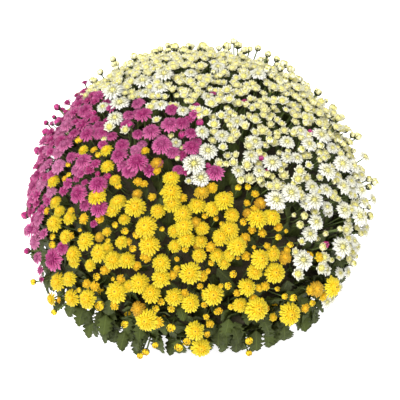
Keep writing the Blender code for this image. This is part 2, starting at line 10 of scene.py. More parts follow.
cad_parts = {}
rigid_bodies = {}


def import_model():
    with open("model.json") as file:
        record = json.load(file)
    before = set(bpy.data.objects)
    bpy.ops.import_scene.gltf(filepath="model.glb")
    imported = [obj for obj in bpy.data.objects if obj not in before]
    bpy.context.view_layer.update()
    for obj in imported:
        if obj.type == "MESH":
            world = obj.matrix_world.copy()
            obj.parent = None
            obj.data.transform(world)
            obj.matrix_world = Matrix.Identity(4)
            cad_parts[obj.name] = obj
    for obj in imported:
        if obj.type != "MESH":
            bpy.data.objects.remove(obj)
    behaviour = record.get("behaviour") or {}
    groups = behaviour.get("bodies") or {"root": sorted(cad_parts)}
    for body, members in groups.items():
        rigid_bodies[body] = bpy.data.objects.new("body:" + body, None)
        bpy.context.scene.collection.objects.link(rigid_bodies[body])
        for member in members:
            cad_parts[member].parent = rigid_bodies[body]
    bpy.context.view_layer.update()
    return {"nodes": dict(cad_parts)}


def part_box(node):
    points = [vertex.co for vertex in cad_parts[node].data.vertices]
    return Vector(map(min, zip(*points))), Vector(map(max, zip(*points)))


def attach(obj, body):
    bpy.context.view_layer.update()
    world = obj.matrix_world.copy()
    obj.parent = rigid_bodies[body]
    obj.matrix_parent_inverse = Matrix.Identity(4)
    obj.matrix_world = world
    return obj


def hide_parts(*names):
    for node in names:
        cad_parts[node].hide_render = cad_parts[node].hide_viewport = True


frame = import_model()
goldenTurn = math.pi * (3 - math.sqrt(5))
colours = ("yellow", "magenta", "cream")
print("Frame loaded:", len(frame["nodes"]), "nodes")


# Node trees: sums on a Wire add Math nodes, and every other node comes from Wire.node

class Wire:
    def __init__(self, tree, socket=None):
        self.tree = tree
        self.socket = socket

    def node(self, kind, settings=None, inputs=None, out=0):
        made = self.tree.nodes.new(kind)
        for name, value in (settings or {}).items():
            if name == "stops":
                fillRamp(made.color_ramp, value)
            else:
                setattr(made, name, value)
        for key, value in (inputs or {}).items():
            plug(self.tree, pick(made.inputs, key), value)
        return Wire(self.tree, pick(made.outputs, out))

    def maths(self, operation, first, second=0.0):
        return self.node("ShaderNodeMath", {"operation": operation}, {0: first, 1: second})

    def __add__(self, other):
        return self.maths("ADD", self, other)

    def __sub__(self, other):
        return self.maths("SUBTRACT", self, other)

    def __rsub__(self, other):
        return self.maths("SUBTRACT", other, self)

    def __mul__(self, other):
        return self.maths("MULTIPLY", self, other)

    def __truediv__(self, other):
        return self.maths("DIVIDE", self, other)

    __radd__ = __add__
    __rmul__ = __mul__


def pick(sockets, key):
    # A socket by its number, or the first one in use that has the name
    if isinstance(key, int):
        return sockets[key]
    return next(socket for socket in sockets if socket.name == key and socket.enabled)


def plug(tree, socket, value):
    if isinstance(value, Wire):
        tree.links.new(value.socket, socket)
    else:
        socket.default_value = value


def fillRamp(ramp, stops):
    # stops: position and colour pairs, low to high
    while len(ramp.elements) < len(stops):
        ramp.elements.new(0.5)
    for element, (position, colour) in zip(ramp.elements, stops):
        element.position = position
        element.color = colour


def tint(red, green, blue):
    # A colour as a screen shows it, 0 to 255, turned into the linear value that sockets take
    def linear(value):
        share = value / 255
        return share / 12.92 if share <= 0.04045 else ((share + 0.055) / 1.055) ** 2.4

    return (linear(red), linear(green), linear(blue), 1.0)


def newGeometryTree(name, sizes):
    # sizes: the first value of each input, or its kind. Gives the tree and a wire for each input
    tree = bpy.data.node_groups.new(name, "GeometryNodeTree")
    for side in ("INPUT", "OUTPUT"):
        tree.interface.new_socket("Geometry", in_out=side, socket_type="NodeSocketGeometry")
    for label, value in sizes.items():
        kind = {int: "Int", float: "Float"}.get(type(value), value)
        socket = tree.interface.new_socket(label, in_out="INPUT", socket_type="NodeSocket" + kind)
        if kind != value:
            socket.default_value = value
    entry = tree.nodes.new("NodeGroupInput")
    return tree, {socket.name: Wire(tree, socket) for socket in entry.outputs if socket.name}


def endTree(tree, geometry, finish):
    # Realize Instances and Set Material, then out
    whole = geometry.node("GeometryNodeRealizeInstances", {}, {"Geometry": geometry})
    painted = whole.node("GeometryNodeSetMaterial", {}, {"Geometry": whole, "Material": finish})
    leave = tree.nodes.new("NodeGroupOutput")
    plug(tree, leave.inputs[0], painted)


def evaluatedMesh(obj):
    # The plain mesh of an object with its modifiers
    bpy.context.view_layer.update()
    graph = bpy.context.evaluated_depsgraph_get()
    return bpy.data.meshes.new_from_object(obj.evaluated_get(graph))


def grown(mesh, tree, values, once=False):
    # The plain mesh that a tree makes of another one, which goes if it served only once
    holder = newObject("Holder", mesh)
    modifier = holder.modifiers.new("Growth", "NODES")
    modifier.node_group = tree
    for item in tree.interface.items_tree:
        if item.in_out == "INPUT" and item.name in values:
            modifier[item.identifier] = values[item.name]
    whole = evaluatedMesh(holder)
    holder.modifiers.clear()
    bpy.data.objects.remove(holder)
    if once:
        bpy.data.meshes.remove(mesh)
    return whole


def newObject(name, mesh, collection=None):
    obj = bpy.data.objects.new(name, mesh)
    (collection or bpy.context.scene.collection).objects.link(obj)
    return obj


def toMesh(shape, name):
    mesh = bpy.data.meshes.new(name)
    shape.to_mesh(mesh)
    shape.free()
    return mesh


def meshOf(shape, name):
    # Ends a bmesh as a smooth mesh whose faces point outwards
    bmesh.ops.recalc_face_normals(shape, faces=shape.faces)
    mesh = toMesh(shape, name)
    mesh.shade_smooth()
    return mesh


def skin(shape, rings):
    # Faces between closed rings of vertices, where a ring of one vertex is a pole
    steps = max(len(ring) for ring in rings)
    for ring, after in zip(rings, rings[1:]):
        for k in range(steps):
            beside = (k + 1) % steps
            under = [ring[0]] if len(ring) == 1 else [ring[k], ring[beside]]
            over = [after[0]] if len(after) == 1 else [after[beside], after[k]]
            shape.faces.new(under + over)


def joined(name, meshes):
    shape = bmesh.new()
    for mesh in meshes:
        shape.from_mesh(mesh)
        bpy.data.meshes.remove(mesh)
    return toMesh(shape, name)


def removeForms(collection):
    for obj in list(collection.objects):
        bpy.data.objects.remove(obj)
    bpy.data.collections.remove(collection)


def trianglesIn(mesh):
    return sum(len(face.vertices) - 2 for face in mesh.polygons)


def addPiece(name, mesh, slot, nodes, finish=None):
    # A piece of the object that stands for these nodes, painted here if it isn't yet
    if finish:
        mesh.materials.append(finish)
    obj = newObject(name, mesh)
    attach(obj, "root")
    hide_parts(*nodes)
    return obj


def around(radius, turn, height=0.0):
    return Vector((radius * math.cos(turn), radius * math.sin(turn), height))


def anyWay(draw):
    return Vector([draw.uniform(-1, 1) for _ in range(3)])


def between(ends, share):
    return ends[0] + (ends[1] - ends[0]) * share


def perColour(yellow, magenta, cream):
    return {"yellow": yellow, "magenta": magenta, "cream": cream}


def middleOf(things):
    return sum((thing["place"] for thing in things), Vector()) / len(things)


# The placing rule: the blooms of the solids, at the same places and in the same bunches

mound = {
    "seed": 7,
    "radius": 0.293,
    "rise": 0.272,  # from the widest level to the top
    "drop": 0.150,  # half axis below the widest level
    "middle": 0.207,  # height of the widest level
    "edge": math.radians(113),  # polar angle of the lowest blooms
    "meeting": Vector((0.020, -0.172)),  # where the colours meet, from above
    "borders": {"magenta": 172.0, "cream": 132.0, "yellow": -13.0},  # where each colour ends, anticlockwise
    "creamSwing": 70.0,  # by which the cream border starts farther to the right
    "creamSwingReach": 0.153,
    "areaSteps": 400,
}
bunching = {
    "blooms": 352,
    "turnSpread": 0.03,
    "openShare": perColour(0.46, 0.42, 0.16),
    "openRadius": 0.0254,
    "halfOpenRadius": 0.0211,
    "sizeSpread": 0.09,
    "perBunch": 8,
    "grip": 0.0064,
    "gap": 0.0010,
    "wideGap": 0.006,
    "notch": 0.80,
    "pace": 0.3,
    "groupingRounds": 24,
    "spreadingRounds": 300,
    "fittingRounds": 8,
    "pulls": 4,
}


def halfAxis(polar):
    return mound["rise"] if polar < math.pi / 2 else mound["drop"]


def moundPoint(polar, azimuth, depth=0.0):
    across = (mound["radius"] - depth) * math.sin(polar)
    height = mound["middle"] + (halfAxis(polar) - depth) * math.cos(polar)
    return around(across, azimuth, height)


def moundAngles(point):
    rise = point.z - mound["middle"]
    axis = mound["rise"] if rise > 0 else mound["drop"]
    polar = math.atan2(math.hypot(point.x, point.y) / mound["radius"], rise / axis)
    return polar, math.atan2(point.y, point.x)


def moundNormal(polar, azimuth):
    return around(math.sin(polar) / mound["radius"], azimuth, math.cos(polar) / halfAxis(polar)).normalized()


def normalAt(point):
    return moundNormal(*moundAngles(point))


def evenPolarAngles(count, edge=mound["edge"]):
    # Polar angles that share the mound's area evenly, from the top down
    angles = np.linspace(0, edge, mound["areaSteps"])
    across = mound["radius"] * np.sin(angles)
    height = np.where(angles < math.pi / 2, mound["rise"], mound["drop"]) * np.cos(angles)
    band = np.hypot(np.diff(across), np.diff(height)) * (across[1:] + across[:-1])
    share = np.concatenate([[0], np.cumsum(band)])
    return np.interp((np.arange(count) + 0.5) / count, share / share[-1], angles)


def colourAt(point):
    away = Vector((point.x, point.y)) - mound["meeting"]
    turn = math.degrees(math.atan2(away.y, away.x)) % 360
    swing = mound["creamSwing"] * max(0.0, 1 - away.length / mound["creamSwingReach"])
    if mound["borders"]["cream"] - swing <= turn < mound["borders"]["magenta"]:
        return "magenta"
    if mound["borders"]["magenta"] <= turn < mound["borders"]["yellow"] % 360:
        return "yellow"
    return "cream"


def scatteredBlooms():
    draw = random.Random(mound["seed"])
    spread = bunching["turnSpread"]
    blooms = []
    for index, polar in enumerate(evenPolarAngles(bunching["blooms"])):
        azimuth = index * goldenTurn + draw.uniform(-spread, spread)
        place = moundPoint(polar, azimuth)
        colour = colourAt(place)
        isOpen = draw.random() < bunching["openShare"][colour]
        radius = bunching["openRadius"] if isOpen else bunching["halfOpenRadius"]
        radius *= 1 + bunching["sizeSpread"] * draw.uniform(-1, 1)
        blooms.append({"place": place, "radius": radius, "open": isOpen, "colour": colour})
    return blooms


def middlesOf(points, count):
    middles = [points[0]]
    while len(middles) < count:
        spare = np.linalg.norm(points[:, None] - np.array(middles)[None], axis=2).min(axis=1)
        middles.append(points[spare.argmax()])
    middles = np.array(middles)
    for _ in range(bunching["groupingRounds"]):
        nearest = np.linalg.norm(points[:, None] - middles[None], axis=2).argmin(axis=1)
        middles = np.array([points[nearest == k].mean(axis=0) for k in range(count)])
    return middles, nearest


def onMound(point, depth=0.0):
    polar, azimuth = moundAngles(point)
    return moundPoint(min(polar, mound["edge"]), azimuth, depth)


def reachBetween(bloom, other):
    return bloom["radius"] + bunching["notch"] * other["radius"] - bunching["grip"]


def chooseGrips(bunch):
    for index, bloom in enumerate(bunch):
        slack = []
        for other in bunch[:index]:
            slack.append((bloom["place"] - other["place"]).length - reachBetween(bloom, other))
        bloom["grips"] = bunch[slack.index(min(slack))] if slack else None


def spreadOnce(blooms, gap):
    # Moves blooms apart where two are too close, and together where one grips the other
    places = np.array([bloom["place"] for bloom in blooms])
    radii = np.array([bloom["radius"] for bloom in blooms])
    away = places[:, None] - places[None]
    distance = np.linalg.norm(away, axis=2)
    shortfall = np.maximum(radii[:, None] + radii[None] + gap - distance, 0)
    numberOf = {id(bloom): index for index, bloom in enumerate(blooms)}
    for index, bloom in enumerate(blooms):
        shortfall[index, index] = 0
        if bloom["grips"]:
            other = numberOf[id(bloom["grips"])]
            shortfall[index, other] = reachBetween(bloom, bloom["grips"]) - distance[index, other]
            shortfall[other, index] = shortfall[index, other]
    np.fill_diagonal(distance, 1)
    step = (away / distance[:, :, None] * shortfall[:, :, None]).sum(axis=1) * bunching["pace"]
    for bloom, move in zip(blooms, step):
        bloom["place"] = onMound(bloom["place"] + Vector(move))


def pullTogether(blooms):
    for bloom in blooms:
        for _ in range(bunching["pulls"] if bloom["grips"] else 0):
            reach = reachBetween(bloom, bloom["grips"])
            away = bloom["place"] - bloom["grips"]["place"]
            if away.length > reach:
                bloom["place"] = onMound(bloom["grips"]["place"] + away.normalized() * reach)


def shrinkOverlaps(blooms):
    for index, bloom in enumerate(blooms):
        for other in blooms[index + 1 :]:
            room = (bloom["place"] - other["place"]).length - bunching["gap"]
            wanted = bloom["radius"] + other["radius"]
            if wanted > room and bloom["bunch"] != other["bunch"]:
                bloom["radius"] *= room / wanted
                other["radius"] *= room / wanted


def bunchedBlooms():
    blooms = scatteredBlooms()
    bunches = []
    for colour in colours:
        own = [bloom for bloom in blooms if bloom["colour"] == colour]
        points = np.array([bloom["place"] for bloom in own])
        middles, nearest = middlesOf(points, round(len(own) / bunching["perBunch"]))
        for k, middle in enumerate(middles):
            bunch = [bloom for bloom, which in zip(own, nearest) if which == k]
            bunch.sort(key=lambda bloom: (bloom["place"] - Vector(middle)).length)
            for bloom in bunch:
                bloom["bunch"] = len(bunches)
            bunches.append(bunch)
            chooseGrips(bunch)
    ordered = [bloom for bunch in bunches for bloom in bunch]
    for gap in np.linspace(bunching["wideGap"], bunching["gap"], bunching["spreadingRounds"]):
        spreadOnce(ordered, gap)
    for _ in range(bunching["fittingRounds"]):
        shrinkOverlaps(ordered)
        for bunch in bunches:
            chooseGrips(bunch)
        pullTogether(ordered)
    return bunches


bunches = bunchedBlooms()
bunchNodes = []
numbers = dict.fromkeys(colours, 0)
for bunch in bunches:
    colour = bunch[0]["colour"]
    numbers[colour] += 1
    bunchNodes.append(f"{colour}_blooms_{numbers[colour]:02d}")
offBy = []
for bunch, node in zip(bunches, bunchNodes):
    low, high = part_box(node)
    middle = middleOf(bunch)
    offBy.append(max(max(low - middle), max(middle - high)))
print("Bunches placed:", len(bunches), "- farthest from its solid:", round(max(offBy), 4), "m")


# Camera, at the photograph's viewing angle

shot = {
    "distance": 1.8,
    "elevation": math.radians(40),
    "target": Vector((0.0, 0.0, 0.257)),  # the place that the distance is measured from
    "aim": Vector((0.004, 0.0, 0.233)),  # the middle of the picture
    "lens": 94.05,
    "sensor": 36.0,
    "pixels": 400,
}


def placeCamera():
    data = bpy.data.cameras.new("Camera")
    data.lens = shot["lens"]
    data.sensor_width = shot["sensor"]
    camera = newObject("Camera", data)
    back = Vector((0, -math.cos(shot["elevation"]), math.sin(shot["elevation"])))
    camera.location = shot["target"] + back * shot["distance"]
    camera.rotation_euler = (shot["aim"] - camera.location).to_track_quat("-Z", "Y").to_euler()
    bpy.context.scene.camera = camera
    bpy.context.view_layer.update()
    return camera


def seenAt(x, y, lift=0.0):
    # The place that the picture shows at this pixel, on the bloom layer or this far above it.
    # Beside the mound it is the point of the view line that is nearest to the mound
    half = shot["sensor"] / 2 / shot["lens"]
    turned = camera.matrix_world.to_3x3()
    ray = turned @ Vector(((x * 2 / shot["pixels"] - 1) * half, (1 - y * 2 / shot["pixels"]) * half, -1))
    for axis in (mound["rise"], mound["drop"]):
        stretch = Vector((1 / (mound["radius"] + lift), 1 / (mound["radius"] + lift), 1 / (axis + lift)))
        start = (camera.location - Vector((0, 0, mound["middle"]))) * stretch
        step = ray * stretch
        a, b, c = step.dot(step), 2 * start.dot(step), start.dot(start) - 1
        place = camera.location + ray * (-b - math.sqrt(max(b * b - 4 * a * c, 0))) / (2 * a)
        if (place.z > mound["middle"]) == (axis == mound["rise"]):
            break
    return place


camera = placeCamera()
print("Camera placed")


# Petals and blooms

petalShapes = {  # outward and up places of the middle line, half widths between its ends, and cup
    "narrow": (((0, 0), (0.03, 0.45), (0.10, 0.86), (0.17, 1.0)), (0.080, 0.115), 0.18),
    "spatula": (((0, 0), (0.02, 0.42), (0.11, 0.84), (0.20, 1.0)), (0.090, 0.150), 0.20),
    "pointed": (((0, 0), (0.03, 0.42), (0.09, 0.80), (0.15, 1.0)), (0.105, 0.118), 0.24),
    "blade": (((0, 0), (0.06, 0.66), (0.15, 1.0)), (0.135,), 0.16),
    "hook": (((0, 0), (0.10, 0.58), (-0.14, 0.98)), (0.150,), 0.30),
    "bowl": (((0, 0), (0.12, 0.62), (0.02, 1.0)), (0.25,), 0.30),
    "scale": (((0, -0.92), (0.94, -0.28), (0.92, 0.42), (0.70, 0.74)), (0.36, 0.32), 0.26),
    "tightScale": (((0, -0.92), (0.92, -0.24), (0.62, 0.66), (0.05, 0.96)), (0.38, 0.24), 0.30),
}
petalThickness = 0.035
kernel = {"along": 0.5, "segments": 7, "levels": 4}  # painted as a petal is halfway along


def petalMesh(name):
    # A closed thin petal along +Z with its upper face to -X: a root, one or two three-point sections, a tip
    path, widths, cup = petalShapes[name]
    line = [Vector((out, 0, up)) for out, up in path]
    last = len(line) - 1
    shape = bmesh.new()
    along = shape.verts.layers.float.new("along")
    across = shape.verts.layers.float.new("across")
    root = shape.verts.new(line[0])
    rings = []
    for k, wide in enumerate(widths, 1):
        tangent = (line[k + 1] - line[k - 1]).normalized()
        inward = Vector((-tangent.z, 0, tangent.x))
        edge = line[k] + inward * cup * wide
        ring = [shape.verts.new(edge + Vector((0, side * wide, 0))) for side in (-1, 1)]
        ring.append(shape.verts.new(line[k] - inward * petalThickness / 2))
        for vert, side in zip(ring, (-1.0, 1.0, 0.0)):
            vert[along] = k / last
            vert[across] = side
        rings.append(ring)
    tip = shape.verts.new(line[last])
    tip[along] = 1.0
    for k in range(3):
        after = (k + 1) % 3
        shape.faces.new((root, rings[0][k], rings[0][after]))
        for ring, above in zip(rings, rings[1:]):
            shape.faces.new((ring[k], above[k], above[after], ring[after]))
        shape.faces.new((rings[-1][k], tip, rings[-1][after]))
    return meshOf(shape, name)


def kernelMesh():
    # The round body inside a bud or under a bloom's middle
    shape = bmesh.new()
    along = shape.verts.layers.float.new("along")
    ringed = shape.verts.layers.float.new("ringed")
    segments, levels = kernel["segments"], kernel["levels"]
    bmesh.ops.create_uvsphere(shape, u_segments=segments, v_segments=levels, radius=1.0)
    for vert in shape.verts:
        vert[along] = kernel["along"]
        vert[ringed] = max(0.0, 1 - math.hypot(vert.co.x, vert.co.y)) if vert.co.z > 0 else 0.0
    return meshOf(shape, "kernel")


def bloomTree():
    # One whorl: petals on a golden spiral, the first ones in the middle and the last ones at the rim
    tree, sizes = newGeometryTree("Whorl", {
        "Petals": 20, "Inner Tilt": 0.1, "Outer Tilt": 1.5, "Inner Length": 0.5, "Outer Length": 1.0,
        "Inner Rank": 0.0, "Outer Rank": 1.0, "Breadth": 1.0, "Seat": 0.1, "Sink": 0.1,
        "Unevenness": 0.08, "Seed": 0, "Finish": "Material",
    })
    points = sizes["Petals"].node("GeometryNodePoints", {}, {"Count": sizes["Petals"]})
    index = points.node("GeometryNodeInputIndex")
    share = (index + 0.5) / sizes["Petals"]

    def chance(seedStep):
        ends = {2: -1.0, 3: 1.0, "Seed": sizes["Seed"] + seedStep}
        return points.node("FunctionNodeRandomValue", {"data_type": "FLOAT"}, ends, out=1)

    def fromInside(label):
        return between((sizes["Inner " + label], sizes["Outer " + label]), share)

    uneven = sizes["Unevenness"]
    turn = index * goldenTurn + chance(1) * uneven
    tilt = fromInside("Tilt") + chance(2) * uneven
    length = fromInside("Length") * (1 + chance(3) * uneven)
    seat = sizes["Seat"] * share
    place = points.node("ShaderNodeCombineXYZ", {}, {
        0: seat * points.maths("COSINE", turn),
        1: seat * points.maths("SINE", turn),
        2: share * -1 * sizes["Sink"],
    })
    moved = points.node("GeometryNodeSetPosition", {}, {"Geometry": points, "Position": place})
    lean = points.node("ShaderNodeCombineXYZ", {}, {1: tilt, 2: turn})
    scale = {0: length, 1: length * sizes["Breadth"], 2: length}
    placed = points.node("GeometryNodeInstanceOnPoints", {}, {
        "Points": moved,
        "Instance": sizes["Geometry"],
        "Rotation": points.node("FunctionNodeEulerToRotation", {}, {"Euler": lean}),
        "Scale": points.node("ShaderNodeCombineXYZ", {}, scale),
    })
    kept = {"data_type": "FLOAT", "domain": "INSTANCE"}
    for label, value in (("rank", fromInside("Rank")), ("petalTone", chance(4))):
        named = {"Geometry": placed, "Name": label, "Value": value}
        placed = points.node("GeometryNodeStoreNamedAttribute", kept, named)
    endTree(tree, placed, sizes["Finish"])
    return tree


def kernelRow(size, sink, rank):
    return ("kernel", 1, (0, 0), (size, size), 1.0, 0.0, sink, (rank, rank))


bloomLooks = {
    # Each whorl: petal, how many, tilts in degrees, lengths, breadth, seat, sink and ranks
    "yellowFull": (
        ("narrow", 30, (83, 95), (0.93, 1.02), 0.98, 0.05, 0.00, (0.86, 1.0)),
        ("blade", 24, (72, 83), (0.86, 0.93), 1.10, 0.05, 0.01, (0.70, 0.86)),
        ("blade", 21, (59, 71), (0.74, 0.83), 1.10, 0.05, 0.01, (0.52, 0.68)),
        ("blade", 16, (44, 57), (0.61, 0.71), 1.10, 0.05, 0.00, (0.32, 0.50)),
        ("hook", 10, (6, 42), (0.54, 0.59), 1.00, 0.05, 0.00, (0.06, 0.30)),
        kernelRow(0.42, -0.12, 0.10),
    ),
    "yellowYoung": (
        ("narrow", 20, (70, 84), (0.92, 1.00), 1.25, 0.06, 0.00, (0.75, 1.0)),
        ("blade", 17, (54, 66), (0.76, 0.86), 1.15, 0.05, 0.01, (0.50, 0.72)),
        ("blade", 12, (34, 48), (0.62, 0.72), 1.15, 0.05, 0.00, (0.28, 0.48)),
        kernelRow(0.44, -0.18, 0.12),
    ),
    "yellowBud": (
        ("scale", 9, (-3, 3), (0.98, 1.02), 1.0, 0.0, 0.0, (0.6, 1.0)),
        kernelRow(0.80, 0.0, 0.20),
    ),
    "magentaFull": (
        ("narrow", 30, (84, 97), (0.93, 1.02), 0.98, 0.05, 0.00, (0.85, 1.0)),
        ("blade", 26, (71, 83), (0.84, 0.94), 0.88, 0.05, 0.01, (0.66, 0.84)),
        ("blade", 22, (56, 69), (0.72, 0.83), 0.90, 0.06, 0.01, (0.46, 0.64)),
        ("blade", 15, (40, 54), (0.59, 0.70), 1.00, 0.05, 0.00, (0.28, 0.44)),
        ("hook", 8, (8, 38), (0.50, 0.57), 1.00, 0.05, 0.00, (0.06, 0.26)),
        kernelRow(0.40, -0.12, 0.06),
    ),
    "magentaHalf": (
        ("spatula", 18, (60, 80), (0.92, 1.00), 1.20, 0.08, 0.00, (0.70, 1.0)),
        ("blade", 15, (40, 56), (0.78, 0.88), 1.20, 0.06, 0.00, (0.42, 0.68)),
        ("hook", 8, (10, 34), (0.60, 0.72), 1.10, 0.06, 0.00, (0.10, 0.38)),
        kernelRow(0.44, -0.18, 0.1),
    ),
    "magentaBud": (
        ("tightScale", 8, (-3, 8), (0.98, 1.08), 1.0, 0.0, 0.0, (0.2, 0.7)),
        kernelRow(0.84, 0.0, 0.3),
    ),
    "creamDaisy": (
        ("pointed", 20, (80, 92), (0.96, 1.00), 1.25, 0.06, 0.00, (0.85, 1.0)),
        ("blade", 17, (68, 79), (0.85, 0.93), 1.25, 0.06, 0.01, (0.64, 0.82)),
        ("blade", 13, (50, 65), (0.64, 0.76), 1.25, 0.06, 0.01, (0.42, 0.58)),
        ("hook", 8, (22, 42), (0.46, 0.54), 1.15, 0.08, 0.00, (0.24, 0.40)),
        kernelRow(0.26, -0.14, 0.10),
    ),
    "creamCup": (
        ("bowl", 13, (48, 64), (0.96, 1.04), 1.20, 0.14, 0.00, (0.46, 0.95)),
        ("bowl", 9, (26, 38), (0.78, 0.86), 1.15, 0.08, 0.00, (0.18, 0.32)),
        kernelRow(0.46, -0.30, 0.04),
    ),
    "creamHalf": (
        ("bowl", 11, (26, 42), (0.96, 1.04), 1.25, 0.20, 0.00, (0.34, 0.7)),
        ("bowl", 6, (8, 18), (0.84, 0.92), 1.10, 0.12, 0.00, (0.14, 0.30)),
        kernelRow(0.44, -0.42, 0.04),
    ),
    "creamBud": (
        ("scale", 7, (-3, 3), (0.96, 1.04), 1.15, 0.0, 0.0, (0.3, 0.7)),
        kernelRow(0.82, 0.0, 0.2),
    ),
}
formsPerStage = {"Full": 3, "Young": 2, "Half": 2, "Daisy": 3, "Cup": 3, "Bud": 2}
petalSeeds = {"form": 31, "whorl": 7}  # steps between the seeds


def colourAndStage(look):
    colour = next(name for name in colours if look.startswith(name))
    return colour, look[len(colour):]


def bloomForms(tree, petals):
    # A collection of ready blooms for each colour, and the numbers that each look has in it
    collections = {colour: bpy.data.collections.new("Forms of " + colour) for colour in colours}
    numbersOf = {}
    for look, whorls in bloomLooks.items():
        colour, stage = colourAndStage(look)
        forms = collections[colour]
        numbersOf[look] = []
        for number in range(formsPerStage[stage]):
            meshes = []
            for layer, (petal, count, tilts, lengths, breadth, seat, sink, ranks) in enumerate(whorls):
                seed = number * petalSeeds["form"] + layer * petalSeeds["whorl"] + len(look)
                values = {"Petals": count, "Breadth": breadth, "Seat": seat, "Sink": sink, "Seed": seed}
                pairs = {"Tilt": [math.radians(tilt) for tilt in tilts], "Length": lengths, "Rank": ranks}
                for label, (inner, outer) in pairs.items():
                    values["Inner " + label], values["Outer " + label] = inner, outer
                meshes.append(grown(petals[petal], tree, dict(values, Finish=finishes[colour])))
            numbersOf[look].append(len(forms.objects))
            newObject(f"form{len(forms.objects):02d}", joined(look, meshes), forms)
    return collections, numbersOf


spotAttributes = {"look": "FLOAT_VECTOR", "size": "FLOAT_VECTOR", "turn": "FLOAT", "form": "INT"}
paintAttributes = {"tone": "FLOAT", "age": "FLOAT"}


def readSpot(start, name, kind="FLOAT"):
    return start.node("GeometryNodeInputNamedAttribute", {"data_type": kind}, {"Name": name})


def scatterTree():
    # Puts a form of the collection at each point, looking along its "look"
    tree, sizes = newGeometryTree("Scatter", {"Forms": "Collection", "Finish": "Material"})
    start = sizes["Geometry"]
    spot = {name: readSpot(start, name, kind) for name, kind in spotAttributes.items()}
    facing = start.node("FunctionNodeAlignRotationToVector", {"axis": "Z"}, {"Vector": spot["look"]})
    about = {"Axis": (0, 0, 1), "Angle": spot["turn"]}
    spin = start.node("FunctionNodeAxisAngleToRotation", {}, about)
    turned = start.node("FunctionNodeRotateRotation", {"rotation_space": "LOCAL"}, {0: facing, 1: spin})
    forms = start.node("GeometryNodeCollectionInfo", {}, {0: sizes["Forms"], 1: True, 2: True})
    placed = start.node("GeometryNodeInstanceOnPoints", {}, {
        "Points": start, "Instance": forms, "Pick Instance": True, "Instance Index": spot["form"],
        "Rotation": turned, "Scale": spot["size"],
    })
    endTree(tree, placed, sizes["Finish"])
    return tree


def scattered(spots, forms, finish):
    # spots: dicts with place, look, turn, size and form, and with tone and age where they are painted
    mesh = bpy.data.meshes.new("Spots")
    mesh.from_pydata([spot["place"] for spot in spots], [], [])
    for name, kind in {**spotAttributes, **paintAttributes}.items():
        values = [spot.get(name, 0.0) for spot in spots]
        layer = mesh.attributes.new(name, kind, "POINT")
        slot = "vector" if kind == "FLOAT_VECTOR" else "value"
        layer.data.foreach_set(slot, np.ravel(values))
    return grown(mesh, trees["scatter"], {"Forms": forms, "Finish": finish}, once=True)


# Finishes

def readNumber(start, name):
    return start.node("ShaderNodeAttribute", {"attribute_name": name}, out="Fac")


def mixed(start, factor, first, second, kind="MIX"):
    return start.node("ShaderNodeMix", {"data_type": "RGBA", "blend_type": kind, "clamp_factor": True},
                      {0: factor, 6: first, 7: second}, out=2)


def eased(start, value, low, high):
    # 0 below low, 1 above high, and smooth between them
    return start.node("ShaderNodeMapRange", {"interpolation_type": "SMOOTHSTEP"}, {0: value, 1: low, 2: high})


def speckle(start, scale, detail=2.0):
    spot = start.node("ShaderNodeTexCoord", out="Object")
    return start.node("ShaderNodeTexNoise", {}, {"Vector": spot, "Scale": scale, "Detail": detail})


bumpStrength = 0.8


def newFinish(name, look, colour, bump=None, roughness=None, light=None):
    # look: its roughness, bump height, gloss and glow. colour, bump and roughness are functions that take a
    # first wire and return one. The glow has the finish's own colour where no light is given
    material = bpy.data.materials.new(name)
    material.use_nodes = True
    tree = material.node_tree
    start = Wire(tree)
    painted = colour(start)
    values = {"Base Color": painted, "Roughness": roughness(start) if roughness else look["roughness"]}
    if "gloss" in look:
        values["Specular IOR Level"] = look["gloss"]
    # glow: painted light on the petals, and an even brightness on the floor
    if "glow" in look:
        values.update({"Emission Color": light or painted, "Emission Strength": look["glow"]})
    if bump:
        height = {"Height": bump(start), "Distance": look["bump"], "Strength": bumpStrength}
        values["Normal"] = start.node("ShaderNodeBump", {}, height)
    for key, value in values.items():
        plug(tree, tree.nodes["Principled BSDF"].inputs[key], value)
    return material


petalColours = {  # rank 0 is the middle of a bloom and 1 its rim
    "yellow": {
        "ranks": (
            (0.0, tint(218, 156, 22)), (0.14, tint(234, 185, 24)),
            (0.40, tint(241, 208, 32)), (1.0, tint(243, 221, 44)),
        ),
        "tip": tint(250, 242, 116), "root": tint(240, 190, 20), "young": tint(240, 176, 26),
        "old": tint(200, 132, 36), "dot": tint(78, 76, 14),
    },
    "magenta": {
        "ranks": (
            (0.0, tint(98, 14, 60)), (0.16, tint(140, 28, 96)),
            (0.6, tint(202, 72, 142)), (1.0, tint(224, 110, 168)),
        ),
        "tip": tint(250, 204, 224), "root": tint(160, 38, 110), "young": tint(160, 32, 94),
        "old": tint(240, 164, 204), "dot": tint(90, 14, 54),
    },
    "cream": {
        "ranks": (
            (0.0, tint(204, 194, 82)), (0.22, tint(224, 217, 134)),
            (0.50, tint(245, 243, 216)), (1.0, tint(253, 253, 248)),
        ),
        "tip": tint(255, 255, 254), "root": tint(220, 214, 148), "young": tint(216, 208, 138),
        "old": tint(214, 190, 150), "dot": tint(104, 104, 34),
    },
}
petalLook = {
    "roughness": 0.6,
    "bump": 0.0002,
    "gloss": 0.22,
    "glow": 0.13,  # painted light: the petals glow in their own colour, standing in for light that shines through them and lifting their shade
    "petalShare": 0.4,  # of the tone comes from the petal, and the rest from its bloom
    "rootEnd": (0.1, 0.6),
    "tipStart": (0.72, 1.0),
    "endShare": 0.55,
    "youngShare": 0.85,
    "oldShare": (0.45, 0.95),  # in the middle of a bloom and at its rim
    "ring": (0.28, 0.34, 0.42, 0.50),  # a dark ring on the kernel: its first, full, last full and last places
    "ringShare": 0.5,
    "dot": (0.86, 0.3),  # where the dark dot inside it starts, at rank 0 and at the most
    "dotWidening": 1.6,  # with the rank
    "dotEdge": 0.1,
    "dotShare": 0.85,
    "light": (0.95, 0.05),
    "lines": 7.0,
}


